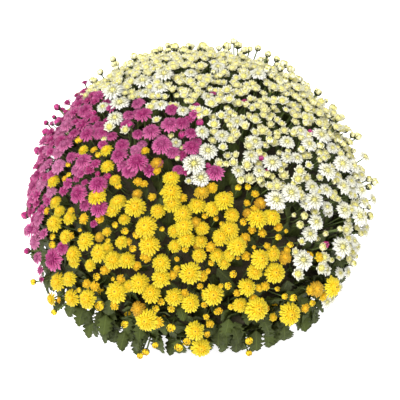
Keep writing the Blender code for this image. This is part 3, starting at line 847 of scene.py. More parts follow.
def petalFinish(colour):
    look = petalColours[colour]

    def paint(start):
        rank, along, age = (readNumber(start, name) for name in ("rank", "along", "age"))
        share = petalLook["petalShare"]
        tone = readNumber(start, "tone") * (1 - share) + readNumber(start, "petalTone") * share
        base = start.node("ShaderNodeValToRGB", {"stops": look["ranks"]}, {"Fac": rank}, out="Color")
        root = 1 - eased(start, along, *petalLook["rootEnd"])
        rooted = mixed(start, root * petalLook["endShare"], base, look["root"])
        tip = eased(start, along, *petalLook["tipStart"])
        tipped = mixed(start, tip * petalLook["endShare"], rooted, look["tip"])
        younger = mixed(start, age * -petalLook["youngShare"], tipped, look["young"])
        older = mixed(start, age * between(petalLook["oldShare"], rank), younger, look["old"])
        ringed = readNumber(start, "ringed")
        far, near, late, end = petalLook["ring"]
        ring = eased(start, ringed, far, near) * (1 - eased(start, ringed, late, end))
        first, least = petalLook["dot"]
        edge = start.maths("MAXIMUM", first - rank * petalLook["dotWidening"], least)
        dot = eased(start, ringed, edge, edge + petalLook["dotEdge"])
        marked = start.maths("MAXIMUM", ring * petalLook["ringShare"], dot * petalLook["dotShare"])
        marks = mixed(start, marked, older, look["dot"])
        middle, swing = petalLook["light"]
        light = middle + tone * swing
        grey = start.node("ShaderNodeCombineColor", {}, {0: light, 1: light, 2: light})
        return mixed(start, 1.0, marks, grey, "MULTIPLY")

    def lines(start):
        wave = start.maths("SINE", readNumber(start, "across") * petalLook["lines"])
        return wave * readNumber(start, "along")

    return newFinish(colour + " petals", petalLook, paint, lines)


leafLook = {
    "dark": (tint(37, 43, 16), tint(53, 60, 22)),
    "light": (tint(59, 71, 24), tint(80, 92, 32)),
    "vein": tint(98, 112, 50),
    "roughness": 0.62,
    "bump": 0.0004,
    "gloss": 0.20,
    "patches": 60.0,
    "grain": 900.0,
    "grainShare": 0.3,
    "veinShare": 0.22,
    "midrib": (0.03, 0.10),
    "sideVeins": 15.7,  # waves along the leaf
    "sideSlant": 0.5,
    "sideWidth": (0.05, 0.22),
    "sideEnd": (0.5, 1.0),
}


def leafPaint(start):
    patches = speckle(start, leafLook["patches"])
    dark = mixed(start, patches, *leafLook["dark"])
    light = mixed(start, patches, *leafLook["light"])
    # the tone mixes the dark and the light greens, and its ranges carry painted shade
    toned = mixed(start, readNumber(start, "tone") * 0.5 + 0.5, dark, light)
    return mixed(start, veins(start) * leafLook["veinShare"], toned, leafLook["vein"])


def veins(start):
    # 1 on the midrib and the side veins, 0 between them
    along, away = readNumber(start, "along"), start.maths("ABSOLUTE", readNumber(start, "across"))
    midrib = 1 - eased(start, away, *leafLook["midrib"])
    slanted = (along - away * leafLook["sideSlant"]) * leafLook["sideVeins"]
    wave = start.maths("ABSOLUTE", start.maths("SINE", slanted))
    side = 1 - eased(start, wave, *leafLook["sideWidth"])
    return start.maths("MAXIMUM", midrib, side * (1 - eased(start, away, *leafLook["sideEnd"])))


def leafBump(start):
    return speckle(start, leafLook["grain"]) * leafLook["grainShare"] - veins(start)


stemLook = {
    "colours": (tint(40, 50, 22), tint(112, 130, 66)),  # dark and pale
    "roughness": 0.65,
    "bump": 0.0001,
    "grain": 1500.0,
}
# painted shade: the leafy inside's dark browns stand for the shade between the inner leaves
insideShadeLook = {
    "colours": (tint(42, 36, 24), tint(70, 63, 38)),
    "roughness": 0.85,
    "bump": 0.004,
    "patches": (70.0, 4.0),  # scale and detail
    "lumps": (120.0, 4.0),
}


def stemPaint(start):
    return mixed(start, readNumber(start, "pale"), *stemLook["colours"])


def stemBump(start):
    return speckle(start, stemLook["grain"])


def insideShadePaint(start):
    return mixed(start, speckle(start, *insideShadeLook["patches"]), *insideShadeLook["colours"])


def insideBump(start):
    return speckle(start, *insideShadeLook["lumps"])


finishes = {colour: petalFinish(colour) for colour in colours}
finishes["leaf"] = newFinish("leaves", leafLook, leafPaint, leafBump)
finishes["stem"] = newFinish("stems", stemLook, stemPaint, stemBump)
finishes["inside"] = newFinish("leafy inside shade", insideShadeLook, insideShadePaint, insideBump)
print("Finishes made:", len(finishes))
trees = {"whorl": bloomTree(), "scatter": scatterTree()}
petals = {name: petalMesh(name) for name in petalShapes}
petals["kernel"] = kernelMesh()
formsOf, numbersOf = bloomForms(trees["whorl"], petals)


# Heads: every bloom and bud, with its kind and place

heads = {
    "seed": 21,
    "daisyShare": 0.80,  # of the half open cream ones at the widest level, and fewer higher up
    "cupShare": 0.7,  # of the other half open cream ones are cups
    "fullShare": {"yellow": 0.70, "magenta": 0.5},  # of the half open ones that look full
    "witheredShare": 0.03,  # of the yellow ones
    "ages": {  # from hardly open, -1, to withered, 1
        "yellowFull": (0, -0.30), "yellowYoung": (-0.2, -0.8), "withered": (0.4, 0.9),
        "magentaFull": (-0.2, 0.4), "magentaHalf": (-0.5, 0.2),
        "creamDaisy": (0, -0.2), "creamCup": (-0.2, -0.8), "creamHalf": (-0.2, -0.8),
    },
    "openSize": perColour(0.69, 0.68, 0.60),  # shares of the solid's radius
    "halfOpenSize": perColour(0.66, 0.62, 0.52),
    "gather": perColour(0.26, 0.22, 0.15),  # how far a bloom leans to the one it grips
    "shift": 0.005,
    "depth": (-0.010, 0.001),
    "facingUp": 0.62,
    "wobble": 0.16,
    "sideTries": 6400,
    "sideSize": perColour((0.0085, 0.0155), (0.0085, 0.0145), (0.0072, 0.0114)),
    "sideDaisySize": (0.0092, 0.0130),
    "sideRoom": perColour(0.62, 0.62, 0.60),  # least spacing, as a share of the two radii
    "sideChance": perColour(0.62, 0.80, 0.85),
    "crowding": perColour(-0.22, -0.45, -0.60),  # lower: fewer gaps without side blooms
    "crowdScale": 26.0,
    "sideDepth": (-0.008, 0.006),
    "budTries": 5200,
    "budSize": perColour((0.0042, 0.0068), (0.0046, 0.0072), (0.0044, 0.0068)),
    "budRoom": 0.66,
    "budAge": (0, -0.9),
    "budChance": perColour(0.30, 0.30, 0.42),
    "budDepth": perColour((-0.016, 0.004), (-0.018, 0.004), (-0.010, 0.010)),
    "lowPolar": perColour(76, 96, 93),  # degrees, below which many blooms are still buds
    "lowShare": 0.24,
    "limbSlope": (-0.30, 0.20),  # from the last ones that the camera sees to those that face it
    "limbDepth": perColour(0.004, 0.007, 0.010),
    "sunkPolar": 84,  # degrees, below which the blooms in view that aren't pictured sink among the leaves
    "sunkSlope": -0.55,
    "sunkDepth": 0.034,
    "seenPolar": (36, 60),  # degrees that the next two pairs are for
    "seenSides": perColour((0.0, 0.0), (1.15, 0.85), (1.0, 0.25)),  # chances in view
    "seenBuds": perColour((0.12, 0.04), (0.3, 0.2), (1.6, 0.3)),
    "tallBuds": 60,
    "tallPolar": (8, 100),
    "tallDepth": (-0.014, -0.025),
    "tallAge": (-0.3, -0.9),
    "smallAge": (-0.1, -0.7),  # of the blooms in view that turn small
}
pictured = (  # blooms that the picture shows: look, range of ages, then across, down and size in pixels
    ("yellowFull", (-0.20, 0.05), (
        (55, 202, 13), (59, 211, 12), (54, 223, 17), (69, 218, 13), (65, 237, 14), (85, 241, 18),
        (73, 254, 16), (74, 261, 13), (99, 253, 18), (113, 260, 18), (127, 260, 16), (107, 248, 12),
        (90, 265, 12), (121, 242, 13), (124, 219, 12), (135, 207, 20), (117, 202, 16), (113, 210, 13),
        (146, 227, 22), (149, 245, 20), (158, 211, 15), (172, 204, 17), (183, 214, 18), (184, 226, 18),
        (174, 231, 13), (186, 239, 17), (175, 246, 13), (197, 205, 17), (202, 228, 14), (201, 241, 13),
        (199, 255, 14), (190, 273, 21), (161, 263, 18), (161, 278, 18), (174, 297, 17), (190, 303, 18),
        (213, 295, 20), (212, 209, 15), (224, 200, 19), (232, 215, 15), (229, 230, 19), (221, 237, 17),
        (237, 246, 19), (217, 255, 14), (229, 255, 12), (224, 263, 12), (257, 218, 20), (272, 217, 17),
        (260, 259, 19), (273, 254, 14), (275, 273, 20), (255, 272, 15), (247, 287, 17), (257, 309, 23),
        (290, 314, 22), (240, 305, 14), (333, 287, 20), (116, 292, 21), (139, 283, 19), (151, 293, 19),
        (57, 282, 18), (69, 279, 15), (51, 299, 13), (71, 298, 17), (87, 299, 19), (146, 320, 22),
        (171, 178, 17), (171, 192, 20), (129, 286, 12), (195, 331, 18), (201, 348, 19), (83, 150, 11),
        (106, 150, 13), (107, 166, 14), (53, 181, 13), (115, 180, 12), (97, 196, 19), (119, 201, 14),
    )),
    ("yellowFull", (0.45, 0.85), (
        (99, 237, 10), (138, 309, 14), (196, 222, 11), (197, 245, 9), (248, 213, 10), (285, 257, 13),
        (261, 203, 12), (317, 289, 15), (137, 194, 11), (157, 163, 12), (202, 192, 15),
    )),
    ("yellowYoung", (-0.80, -0.35), (
        (84, 219, 11), (100, 219, 9), (105, 270, 10), (137, 266, 9), (128, 242, 8), (107, 232, 9),
        (109, 213, 7), (146, 257, 11), (121, 279, 9), (115, 305, 10), (59, 300, 7), (87, 284, 9),
        (95, 286, 10), (173, 275, 9), (177, 269, 7), (185, 293, 8), (205, 295, 7), (202, 276, 11),
        (211, 247, 10), (245, 238, 10), (237, 293, 7), (246, 256, 9), (255, 209, 9), (278, 227, 9),
        (252, 230, 8), (262, 233, 9), (259, 288, 8), (265, 286, 9), (273, 317, 8), (305, 308, 9),
        (253, 298, 8), (323, 296, 10), (310, 290, 9), (319, 257, 10), (309, 256, 9), (267, 246, 7),
        (287, 250, 7), (247, 203, 7), (255, 194, 8), (138, 182, 9), (144, 184, 8), (183, 198, 9),
        (152, 197, 8), (157, 171, 8), (145, 151, 9), (212, 188, 11), (210, 324, 8), (158, 322, 12),
        (94, 150, 8), (65, 179, 7), (47, 211, 8), (71, 211, 8), (71, 236, 8),
    )),
    ("yellowBud", (-0.60, -0.05), (
        (53, 237, 6), (80, 230, 4), (115, 225, 6), (125, 231, 7), (136, 235, 7), (108, 241, 5),
        (133, 249, 7), (97, 277, 7), (100, 306, 9), (54, 312, 6), (113, 279, 4), (79, 290, 5), (156, 309, 7),
        (205, 216, 6), (216, 219, 5), (162, 229, 5), (177, 259, 5), (211, 263, 6), (208, 271, 5),
        (233, 274, 7), (200, 286, 6), (228, 286, 7), (221, 286, 5), (213, 287, 5), (204, 305, 6),
        (217, 312, 6), (206, 317, 6), (231, 307, 6), (171, 309, 7), (161, 302, 7), (238, 258, 4),
        (222, 224, 5), (243, 222, 7), (278, 237, 6), (286, 231, 4), (277, 289, 5), (293, 298, 7),
        (312, 303, 6), (283, 262, 5), (254, 247, 4), (290, 245, 6), (274, 248, 5), (238, 188, 6),
        (248, 187, 6), (79, 140, 7), (68, 165, 5), (104, 187, 6), (33, 282, 6), (125, 324, 7), (171, 328, 8),
        (179, 347, 8), (155, 345, 6), (146, 352, 7), (140, 356, 6), (207, 334, 6), (249, 341, 7),
        (249, 353, 6), (118, 186, 7), (98, 155, 6), (69, 175, 5),
    )),
    ("magentaFull", (-0.25, 0.18), (
        (143, 114, 16), (129, 115, 11), (138, 103, 12), (151, 131, 16), (138, 134, 11), (170, 124, 17),
        (182, 123, 14), (191, 133, 12), (162, 145, 18), (173, 152, 12), (192, 147, 16), (137, 162, 19),
        (129, 171, 13), (122, 145, 13), (119, 155, 15), (215, 172, 16), (103, 132, 11), (85, 110, 14),
        (83, 161, 16), (71, 157, 11), (87, 134, 14), (74, 133, 11), (99, 133, 12), (98, 184, 17),
        (78, 194, 17), (85, 205, 11), (99, 208, 16), (62, 248, 12), (53, 259, 20), (112, 136, 10),
    )),
    ("magentaFull", (0.25, 0.75), (
        (67, 125, 14), (70, 115, 12), (59, 134, 11), (65, 145, 14), (58, 152, 13), (58, 166, 14),
        (41, 184, 12), (51, 192, 11), (38, 219, 12), (27, 230, 12), (34, 242, 13), (37, 258, 11),
    )),
    ("magentaHalf", (-0.20, 0.50), (
        (44, 142, 12), (42, 159, 10), (34, 198, 11), (42, 210, 10), (44, 234, 10), (37, 231, 10),
        (41, 270, 9), (53, 144, 9), (52, 124, 8), (52, 175, 10), (48, 150, 10), (48, 201, 9), (45, 168, 11),
        (49, 163, 9), (37, 204, 8),
    )),
    ("magentaHalf", (-0.60, -0.10), (
        (68, 103, 9), (42, 279, 7), (64, 191, 9), (90, 170, 9), (77, 179, 7), (85, 183, 7), (189, 120, 9),
        (88, 101, 9), (95, 102, 9), (94, 224, 7), (213, 94, 6), (196, 106, 7), (245, 102, 6), (159, 163, 8),
        (185, 172, 8), (79, 104, 10), (95, 120, 9), (76, 122, 9), (112, 108, 10), (89, 117, 8), (85, 92, 10),
        (85, 83, 7), (77, 96, 8), (93, 95, 9),
    )),
    ("magentaBud", (-0.90, -0.30), (
        (57, 107, 6), (54, 117, 4), (46, 132, 7), (37, 150, 6), (37, 167, 4), (34, 179, 8), (30, 206, 4),
        (34, 210, 4), (25, 215, 7), (27, 251, 6), (200, 123, 7), (182, 135, 7), (208, 166, 6), (261, 158, 5),
        (267, 171, 4), (310, 132, 5), (325, 245, 7), (98, 174, 5),
    )),
    ("creamDaisy", (-0.15, 0.0), (
        (194, 164, 20), (201, 178, 17), (208, 151, 17), (202, 132, 13), (183, 111, 12), (113, 91, 19),
        (143, 81, 17), (164, 74, 17), (160, 88, 15), (120, 103, 18), (146, 93, 13), (161, 105, 13),
        (103, 107, 12), (115, 118, 15), (176, 143, 10), (208, 97, 12), (258, 74, 15), (237, 122, 13),
        (222, 136, 13), (238, 171, 12), (259, 171, 12), (251, 156, 14), (272, 163, 17), (276, 200, 19),
        (291, 193, 18), (255, 142, 15), (287, 142, 14), (300, 131, 13), (321, 135, 17), (309, 144, 14),
        (327, 171, 17), (342, 164, 17), (343, 186, 15), (326, 190, 13), (361, 190, 14), (306, 204, 12),
        (314, 200, 17), (327, 207, 11), (344, 210, 16), (359, 216, 18), (316, 222, 15), (310, 234, 14),
        (342, 247, 18), (354, 241, 11), (303, 260, 18), (332, 148, 12), (354, 166, 14), (312, 187, 13),
        (351, 181, 11), (363, 202, 12), (366, 227, 10), (373, 199, 11), (365, 157, 12), (218, 67, 13),
        (191, 73, 12), (287, 157, 12), (297, 158, 12),
    )),
    ("creamCup", (-0.60, -0.10), (
        (110, 128, 11), (126, 131, 10), (184, 97, 9), (206, 114, 11), (223, 148, 9), (249, 141, 9),
        (299, 172, 12), (319, 178, 8), (297, 274, 12), (320, 268, 12), (345, 230, 10), (301, 242, 8),
        (295, 252, 8), (308, 166, 9), (323, 159, 9), (361, 171, 9), (336, 181, 9), (335, 128, 10),
        (346, 130, 11), (349, 143, 9), (353, 196, 8), (157, 121, 9), (189, 182, 8),
    )),
    ("creamBud", (-0.90, -0.30), (
        (304, 216, 7), (300, 225, 7), (358, 136, 7), (375, 182, 7), (369, 187, 6), (370, 216, 7),
        (294, 215, 4), (171, 136, 5), (127, 144, 5), (104, 139, 5), (182, 148, 4), (177, 158, 5),
        (226, 164, 6), (241, 180, 7), (260, 180, 7), (115, 64, 7), (175, 47, 8), (184, 51, 8), (203, 46, 8),
        (219, 48, 5), (234, 41, 6), (155, 52, 7), (268, 54, 6), (284, 64, 8), (298, 79, 8), (127, 65, 8),
        (143, 59, 8), (258, 48, 6), (227, 46, 8), (245, 50, 7), (100, 72, 6), (95, 80, 5), (356, 176, 6),
        (369, 179, 6), (369, 207, 5), (160, 49, 6), (238, 45, 7), (113, 59, 6), (134, 56, 7), (168, 45, 5),
        (210, 50, 7), (250, 49, 5), (291, 69, 7), (318, 92, 7), (333, 108, 7), (342, 117, 6), (353, 135, 6),
        (190, 47, 6), (151, 56, 6), (307, 86, 6), (277, 59, 6),
    )),
)
pictureGaps = (  # dark gaps between them: across, down and radius in pixels
    (219, 156, 7), (230, 177, 9), (242, 150, 5), (288, 119, 6), (173, 87, 6), (175, 100, 6), (171, 117, 4),
    (290, 225, 11), (288, 239, 8), (285, 213, 5), (300, 228, 6), (328, 226, 8), (331, 237, 7), (315, 156, 4),
    (315, 169, 4), (345, 196, 5), (291, 125, 5), (272, 151, 4), (314, 243, 7), (312, 266, 6), (328, 256, 8),
    (134, 123, 4), (132, 134, 5), (150, 142, 4), (176, 165, 5), (74, 174, 6), (92, 161, 4), (46, 242, 5),
    (336, 273, 8), (325, 280, 8),
)
picture = {
    "reach": 0.024,  # a main bloom this near to a pictured place moves there
    "lift": (0.002, 0.012),  # above the bloom layer, for the smallest and the largest blooms
    "liftSpread": 0.0015,
    "largest": 20,  # pixels
    "scale": perColour(1.11, 1.24, 1.22),  # the thin tips hardly show in the picture
    "clear": 1.25,
}


def facing(point, draw):
    look = normalAt(point) + Vector((0, 0, heads["facingUp"]))
    return (look.normalized() + anyWay(draw) * heads["wobble"]).normalized()


def moved(point, draw, shift, depth):
    # A place near one on the bloom layer, pushed along it and in or out
    return onMound(point + anyWay(draw) * shift, draw.uniform(*depth))


def kindOf(colour, place, isOpen, draw):
    # Look and age of a bloom: the open cream ones are daisies, and the others more often cups towards the top
    chance = draw.random()
    if colour == "cream":
        height = (place.z - mound["middle"]) / mound["rise"]
        look = "creamDaisy"
        if not isOpen and chance >= heads["daisyShare"] - height:
            look = "creamCup" if draw.random() < heads["cupShare"] else "creamHalf"
    elif isOpen or chance < heads["fullShare"][colour]:
        look = colour + "Full"
    else:
        look = "yellowYoung" if colour == "yellow" else "magentaHalf"
    isWithered = colour == "yellow" and chance < heads["witheredShare"]
    return look, draw.uniform(*heads["ages"]["withered" if isWithered else look])


def makeHead(colour, look, place, size, age, bunch, draw):
    return {
        "colour": colour, "kind": look, "place": place, "look": facing(place, draw),
        "size": (size,) * 3, "radius": size, "clear": size, "turn": draw.uniform(0, math.tau),
        "form": draw.choice(numbersOf[look]), "tone": draw.uniform(-1, 1), "age": age, "bunch": bunch,
    }


def isLow(colour, point):
    return math.degrees(moundAngles(point)[0]) > heads["lowPolar"][colour]


def mainHeads(draw):
    found = []
    for number, bunch in enumerate(bunches):
        for bloom in bunch:
            colour, start = bloom["colour"], bloom["place"]
            size = bloom["radius"] * heads["openSize" if bloom["open"] else "halfOpenSize"][colour]
            look, age = kindOf(colour, start, bloom["open"], draw)
            if bloom["grips"]:
                start = start.lerp(bloom["grips"]["place"], draw.uniform(0, heads["gather"][colour]))
            if isLow(colour, start) and draw.random() > heads["lowShare"]:
                look, size = colour + "Bud", draw.uniform(*heads["budSize"][colour])
            place = moved(start, draw, heads["shift"], heads["depth"])
            found.append(makeHead(colour, look, place, size, age, number, draw))
    return found


def nearestBunch(place, colour):
    own = [bloom for bunch in bunches for bloom in bunch if bloom["colour"] == colour]
    return min(own, key=lambda bloom: (bloom["place"] - place).length)["bunch"]


def fillers(found, draw, tries, chances, seenShare, choose):
    # Adds heads in the gaps, from evenly spread places taken in a shuffled order
    order = list(enumerate(evenPolarAngles(tries)))
    draw.shuffle(order)
    places = np.zeros((len(found) + tries, 3))
    rooms = np.zeros(len(places))
    for k, head in enumerate(found):
        places[k], rooms[k] = head["place"], head["clear"]
    for index, polar in order:
        azimuth = index * goldenTurn
        spot = moundPoint(polar, azimuth)
        colour = colourAt(spot)
        share = heads["lowShare"] if isLow(colour, spot) else 1.0
        if isInGap(spot) or isSunk(spot) and isEdgeOn(spot):
            continue
        if isSeen(spot):
            share = np.interp(math.degrees(polar), heads["seenPolar"], seenShare[colour])
        if draw.random() > chances[colour] * share:
            continue
        choice = choose(colour, spot, draw)
        if not choice:
            continue
        look, size, depth, age, room = choice
        count = len(found)
        apart = np.linalg.norm(places[:count] - np.array(spot), axis=1)
        if (apart > room * (rooms[:count] + size)).all():
            place = moundPoint(polar, azimuth, depth)
            head = makeHead(colour, look, place, size, age, nearestBunch(spot, colour), draw)
            places[count], rooms[count] = head["place"], head["clear"]
            found.append(head)


def chooseSide(colour, spot, draw):
    if noise.noise(spot * heads["crowdScale"]) < heads["crowding"][colour]:
        return None
    look, age = kindOf(colour, spot, False, draw)
    size = draw.uniform(*(heads["sideDaisySize"] if look == "creamDaisy" else heads["sideSize"][colour]))
    depth = draw.uniform(*heads["sideDepth"])
    if isSeen(spot) and isEdgeOn(spot):
        depth += heads["limbDepth"][colour]
    return look, size, depth, age, heads["sideRoom"][colour]


def chooseBud(colour, spot, draw):
    size = draw.uniform(*heads["budSize"][colour])
    depth = draw.uniform(*heads["budDepth"][colour])
    return colour + "Bud", size, depth, draw.uniform(*heads["budAge"]), heads["budRoom"]


def slopeAt(point):
    # 1 where the bloom layer faces the camera and 0 at its outline
    return normalAt(point).dot((camera.location - point).normalized())


def isSeen(point):
    return slopeAt(point) > heads["limbSlope"][0]


def isEdgeOn(point):
    return slopeAt(point) < heads["limbSlope"][1]


def isSunk(point):
    return math.degrees(moundAngles(point)[0]) > heads["sunkPolar"] and slopeAt(point) > heads["sunkSlope"]


def pixelAt(place):
    return shot["sensor"] / shot["lens"] / shot["pixels"] * (place - camera.location).length


def pixelOf(point):
    # Where the picture shows a point: across and down
    seen = camera.matrix_world.inverted() @ point
    scale = shot["lens"] / shot["sensor"] * shot["pixels"] / -seen.z
    return shot["pixels"] / 2 + seen.x * scale, shot["pixels"] / 2 - seen.y * scale


def isInGap(point):
    return any((point - place).length < reach for place, reach in gaps)


gaps = [(seenAt(x, y), radius * pixelAt(seenAt(x, y))) for x, y, radius in pictureGaps]


def placePictured(found, draw):
    # The nearest free main bloom moves to each pictured place, or else one is added
    mains = list(found)
    for look, ages, spots in pictured:
        colour = colourAndStage(look)[0]
        for x, y, across in spots:
            lift = between(picture["lift"], min(across / picture["largest"], 1) ** 2)
            place = seenAt(x, y, lift + draw.uniform(-picture["liftSpread"], picture["liftSpread"]))
            bunch = nearestBunch(place, colour)
            size = across * pixelAt(place) / 2 * picture["scale"][colour]
            head = makeHead(colour, look, place, size, draw.uniform(*ages), bunch, draw)
            head["pictured"] = True
            head["clear"] *= picture["clear"]
            if colourAt(place) != colour:
                head["stray"] = True
            found.append(head)
            free = [main for main in mains if "moved" not in main]
            near = min(free, key=lambda main: (main["place"] - place).length)
            if (near["place"] - place).length < picture["reach"] and not look.endswith("Bud"):
                near["moved"] = True
    found[:] = [head for head in found if "moved" not in head]
    for main in mains:
        if "moved" not in main and (isSeen(main["place"]) or isSunk(main["place"])):
            turnSmall(main, draw)


def turnSmall(head, draw):
    # A main bloom in view that isn't pictured becomes a bud or a small bloom
    colour, place = head["colour"], head["place"]
    polar, azimuth = moundAngles(place)
    look, sizes = ("creamCup", "sideSize") if colour == "cream" else (colour + "Bud", "budSize")
    if isEdgeOn(place):
        place = moundPoint(polar, azimuth, heads["limbDepth"][colour])
        if colour == "magenta":
            look, sizes = "magentaHalf", "sideSize"
    if isSunk(head["place"]) or isInGap(place):
        look, sizes = colour + "Bud", "budSize"
        place = moundPoint(polar, azimuth, heads["sunkDepth"])
    size, age = draw.uniform(*heads[sizes][colour]), draw.uniform(*heads["smallAge"])
    head.update(makeHead(colour, look, place, size, age, head["bunch"], draw))


def tallBuds(found, draw):
    # Buds on long stalks that stand above the blooms
    low, high = heads["tallPolar"]
    for index in range(heads["tallBuds"]):
        polar = math.radians(low + (high - low) * (index + draw.random()) / heads["tallBuds"])
        azimuth = index * goldenTurn
        spot = moundPoint(polar, azimuth)
        colour = colourAt(spot)
        if isSeen(spot):
            continue
        size = draw.uniform(*heads["budSize"][colour])
        place = moundPoint(polar, azimuth, draw.uniform(*heads["tallDepth"]))
        age = draw.uniform(*heads["tallAge"])
        found.append(makeHead(colour, colour + "Bud", place, size, age, nearestBunch(spot, colour), draw))


def allHeads():
    draw = random.Random(heads["seed"])
    found = mainHeads(draw)
    placePictured(found, draw)
    mains = len(found)
    fillers(found, draw, heads["sideTries"], heads["sideChance"], heads["seenSides"], chooseSide)
    sides = len(found) - mains
    fillers(found, draw, heads["budTries"], heads["budChance"], heads["seenBuds"], chooseBud)
    tallBuds(found, draw)
    print("Heads:", mains, "main,", sides, "side,", len(found) - mains - sides, "buds")
    for look in bloomLooks:
        print("  ", look, sum(head["kind"] == look for head in found))
    return found


def addBlooms(colour, kind, own, nodes):
    addPiece(colour + kind, scattered(own, formsOf[colour], finishes[colour]), colour + "_petals", nodes)


allOfThem = allHeads()
for number, node in enumerate(bunchNodes):
    own = [head for head in allOfThem if head["bunch"] == number and "stray" not in head]
    addBlooms(own[0]["colour"], "Bunch" + node[-2:], own, [node])
for colour in colours:
    own = [head for head in allOfThem if head["colour"] == colour and "stray" in head]
    addBlooms(colour, "Strays", own, sorted({bunchNodes[head["bunch"]] for head in own}))
print("Bunches dressed:", len(bunchNodes))


# Leaves

leaf = {
    "thickness": 0.014,  # of a leaf of length 1
    "lobes": (0.22, 0.46, 0.68, 0.86),  # middles of the lobes along the leaf
    "lobeWidth": 0.078,
    "notch": 0.46,  # width between the lobes, as a share of the width on them
    "wide": 0.34,
    "skew": 0.78,  # less than 1 puts the widest part nearer the stalk
    "fullness": 0.55,
    "stalk": 0.16,
    "arch": 0.26,
    "cup": 0.30,
    "slant": 0.672,  # how far the lobes point forward
    "ripple": (0.02, 17, 3),  # height of the waves, and their turns along and across
    "teeth": 0.05,
    "blunt": 0.03,  # least half width
}


def leafHalfWidth(share, isTooth):
    # Half width along the leaf: an egg-shaped leaf cut into lobes, which carry small teeth
    body = max(math.sin(math.pi * share ** leaf["skew"]), 0.0) ** leaf["fullness"]
    nearest = min(abs(share - lobe) for lobe in leaf["lobes"])
    cut = between((leaf["notch"], 1), math.exp(-((nearest / leaf["lobeWidth"]) ** 2)))
    return leaf["wide"] * body * cut * (1 + leaf["teeth"] * (1 if isTooth else -1))


def leafMesh(name, stations, isToothed):
    # A lobed leaf of length 1 along +Y with its upper face to +Z, a short way from the origin
    shape = bmesh.new()
    along = shape.verts.layers.float.new("along")
    across = shape.verts.layers.float.new("across")
    columns = (-1.0, 0.0, 1.0)
    high, onward, sideways = leaf["ripple"]
    rows = []
    for k in range(stations + 1):
        share = k / stations
        half = max(leafHalfWidth(share, isToothed and k % 2), leaf["blunt"])
        row = []
        for side in columns:
            x = side * half
            y = between((leaf["stalk"], 1), share) + leaf["slant"] * abs(x) * (1 - share) * share
            wave = high * math.sin(share * onward + side * sideways)
            z = leaf["cup"] * abs(x) - leaf["arch"] * y * y + wave * abs(side)
            vert = shape.verts.new((x, y, z))
            vert[along], vert[across] = share, x / leaf["wide"]
            row.append(vert)
        rows.append(row)
    for row, after in zip(rows, rows[1:]):
        for k in range(len(columns) - 1):
            shape.faces.new((row[k], row[k + 1], after[k + 1], after[k]))
    mesh = meshOf(shape, name)
    holder = newObject(name, mesh)
    thick = holder.modifiers.new("Thickness", "SOLIDIFY")
    thick.thickness = leaf["thickness"]
    thick.offset = -1
    solid = evaluatedMesh(holder)
    bpy.data.objects.remove(holder)
    solid.shade_smooth()
    return solid


foliage = {
    "seed": 5,
    "inner": 700,  # among and under the blooms
    "innerEdge": math.radians(118),
    "innerLength": (0.034, 0.046),
    "innerDepth": perColour((0.008, 0.034), (0.020, 0.044), (0.010, 0.034)),
    # the inner leaves' tones are painted shade: dark deep among the blooms, less dark under the magenta and
    # cream ones
    "innerShadeTone": perColour((-1.0, -0.2), (-0.7, 0.4), (-0.6, 0.6)),
    "rows": (  # how many, polar angles, lengths, depths, dips below the horizontal and tones, which are kept dark as painted shade
        # flat against the lowest part, all round
        (600, (74, 118), (0.034, 0.046), (0.012, 0.030), None, (-1.0, 0.2)),
        # between and under the lowest blooms, all round
        (460, (77, 116), (0.030, 0.042), (0.010, 0.034), (24, 72), (-0.9, 0.4)),
        # shorter ones that hang under the lowest blooms
        (220, (94, 110), (0.026, 0.036), (0.000, 0.020), (50, 84), (-0.9, 0.4)),
    ),
    "slopeStep": 0.02,  # in radians, as the next five
    "innerSpread": 0.05,  # of the azimuths
    "rowSpread": 0.1,
    "droop": (-0.7, 0.1),
    "swing": (-1.0, 1.0),
    "roll": (-0.5, 0.5),
    "footShare": 0.45,  # of an inner leaf lies above its place
    "clearOf": 0.003,
    "checked": (0.35, 0.6, 0.85),  # places along a leaf that stay clear of the pictured blooms
    "ahead": (-0.004, 0.06),  # how far in front of a bloom this counts
    "outline": (190, 215, 162, 142, 2.8),  # middle, half sizes and power of a curve round the leaves
    "forms": {"fineLeaf": (14, True), "plainLeaf1": (8, False), "plainLeaf2": (6, False)},
}


def innerLeaf(polar, azimuth, depth, length, draw):
    # Lies along the slope of the mound, tip down, with its upper face outwards
    place = moundPoint(polar, azimuth, depth)
    out = moundNormal(polar, azimuth)
    down = (moundPoint(polar + foliage["slopeStep"], azimuth, depth) - place).normalized()
    side = down.cross(out).normalized()
    droop = Matrix.Rotation(draw.uniform(*foliage["droop"]), 3, side)
    tip = Matrix.Rotation(draw.uniform(*foliage["swing"]), 3, out) @ (droop @ down)
    up = (out - tip * out.dot(tip)).normalized()
    return place - tip * length * foliage["footShare"], tip, up


def fringeLeaf(polar, azimuth, depth, dips, draw):
    # Reaches out of the mound and down, with its upper face up and outwards
    out = Matrix.Rotation(azimuth + draw.uniform(*foliage["roll"]), 3, "Z") @ Vector((1, 0, 0))
    dip = math.radians(draw.uniform(*dips))
    tip = out * math.cos(dip) - Vector((0, 0, math.sin(dip)))
    up = out * math.sin(dip) + Vector((0, 0, math.cos(dip)))
    return moundPoint(polar, azimuth, depth), tip, up


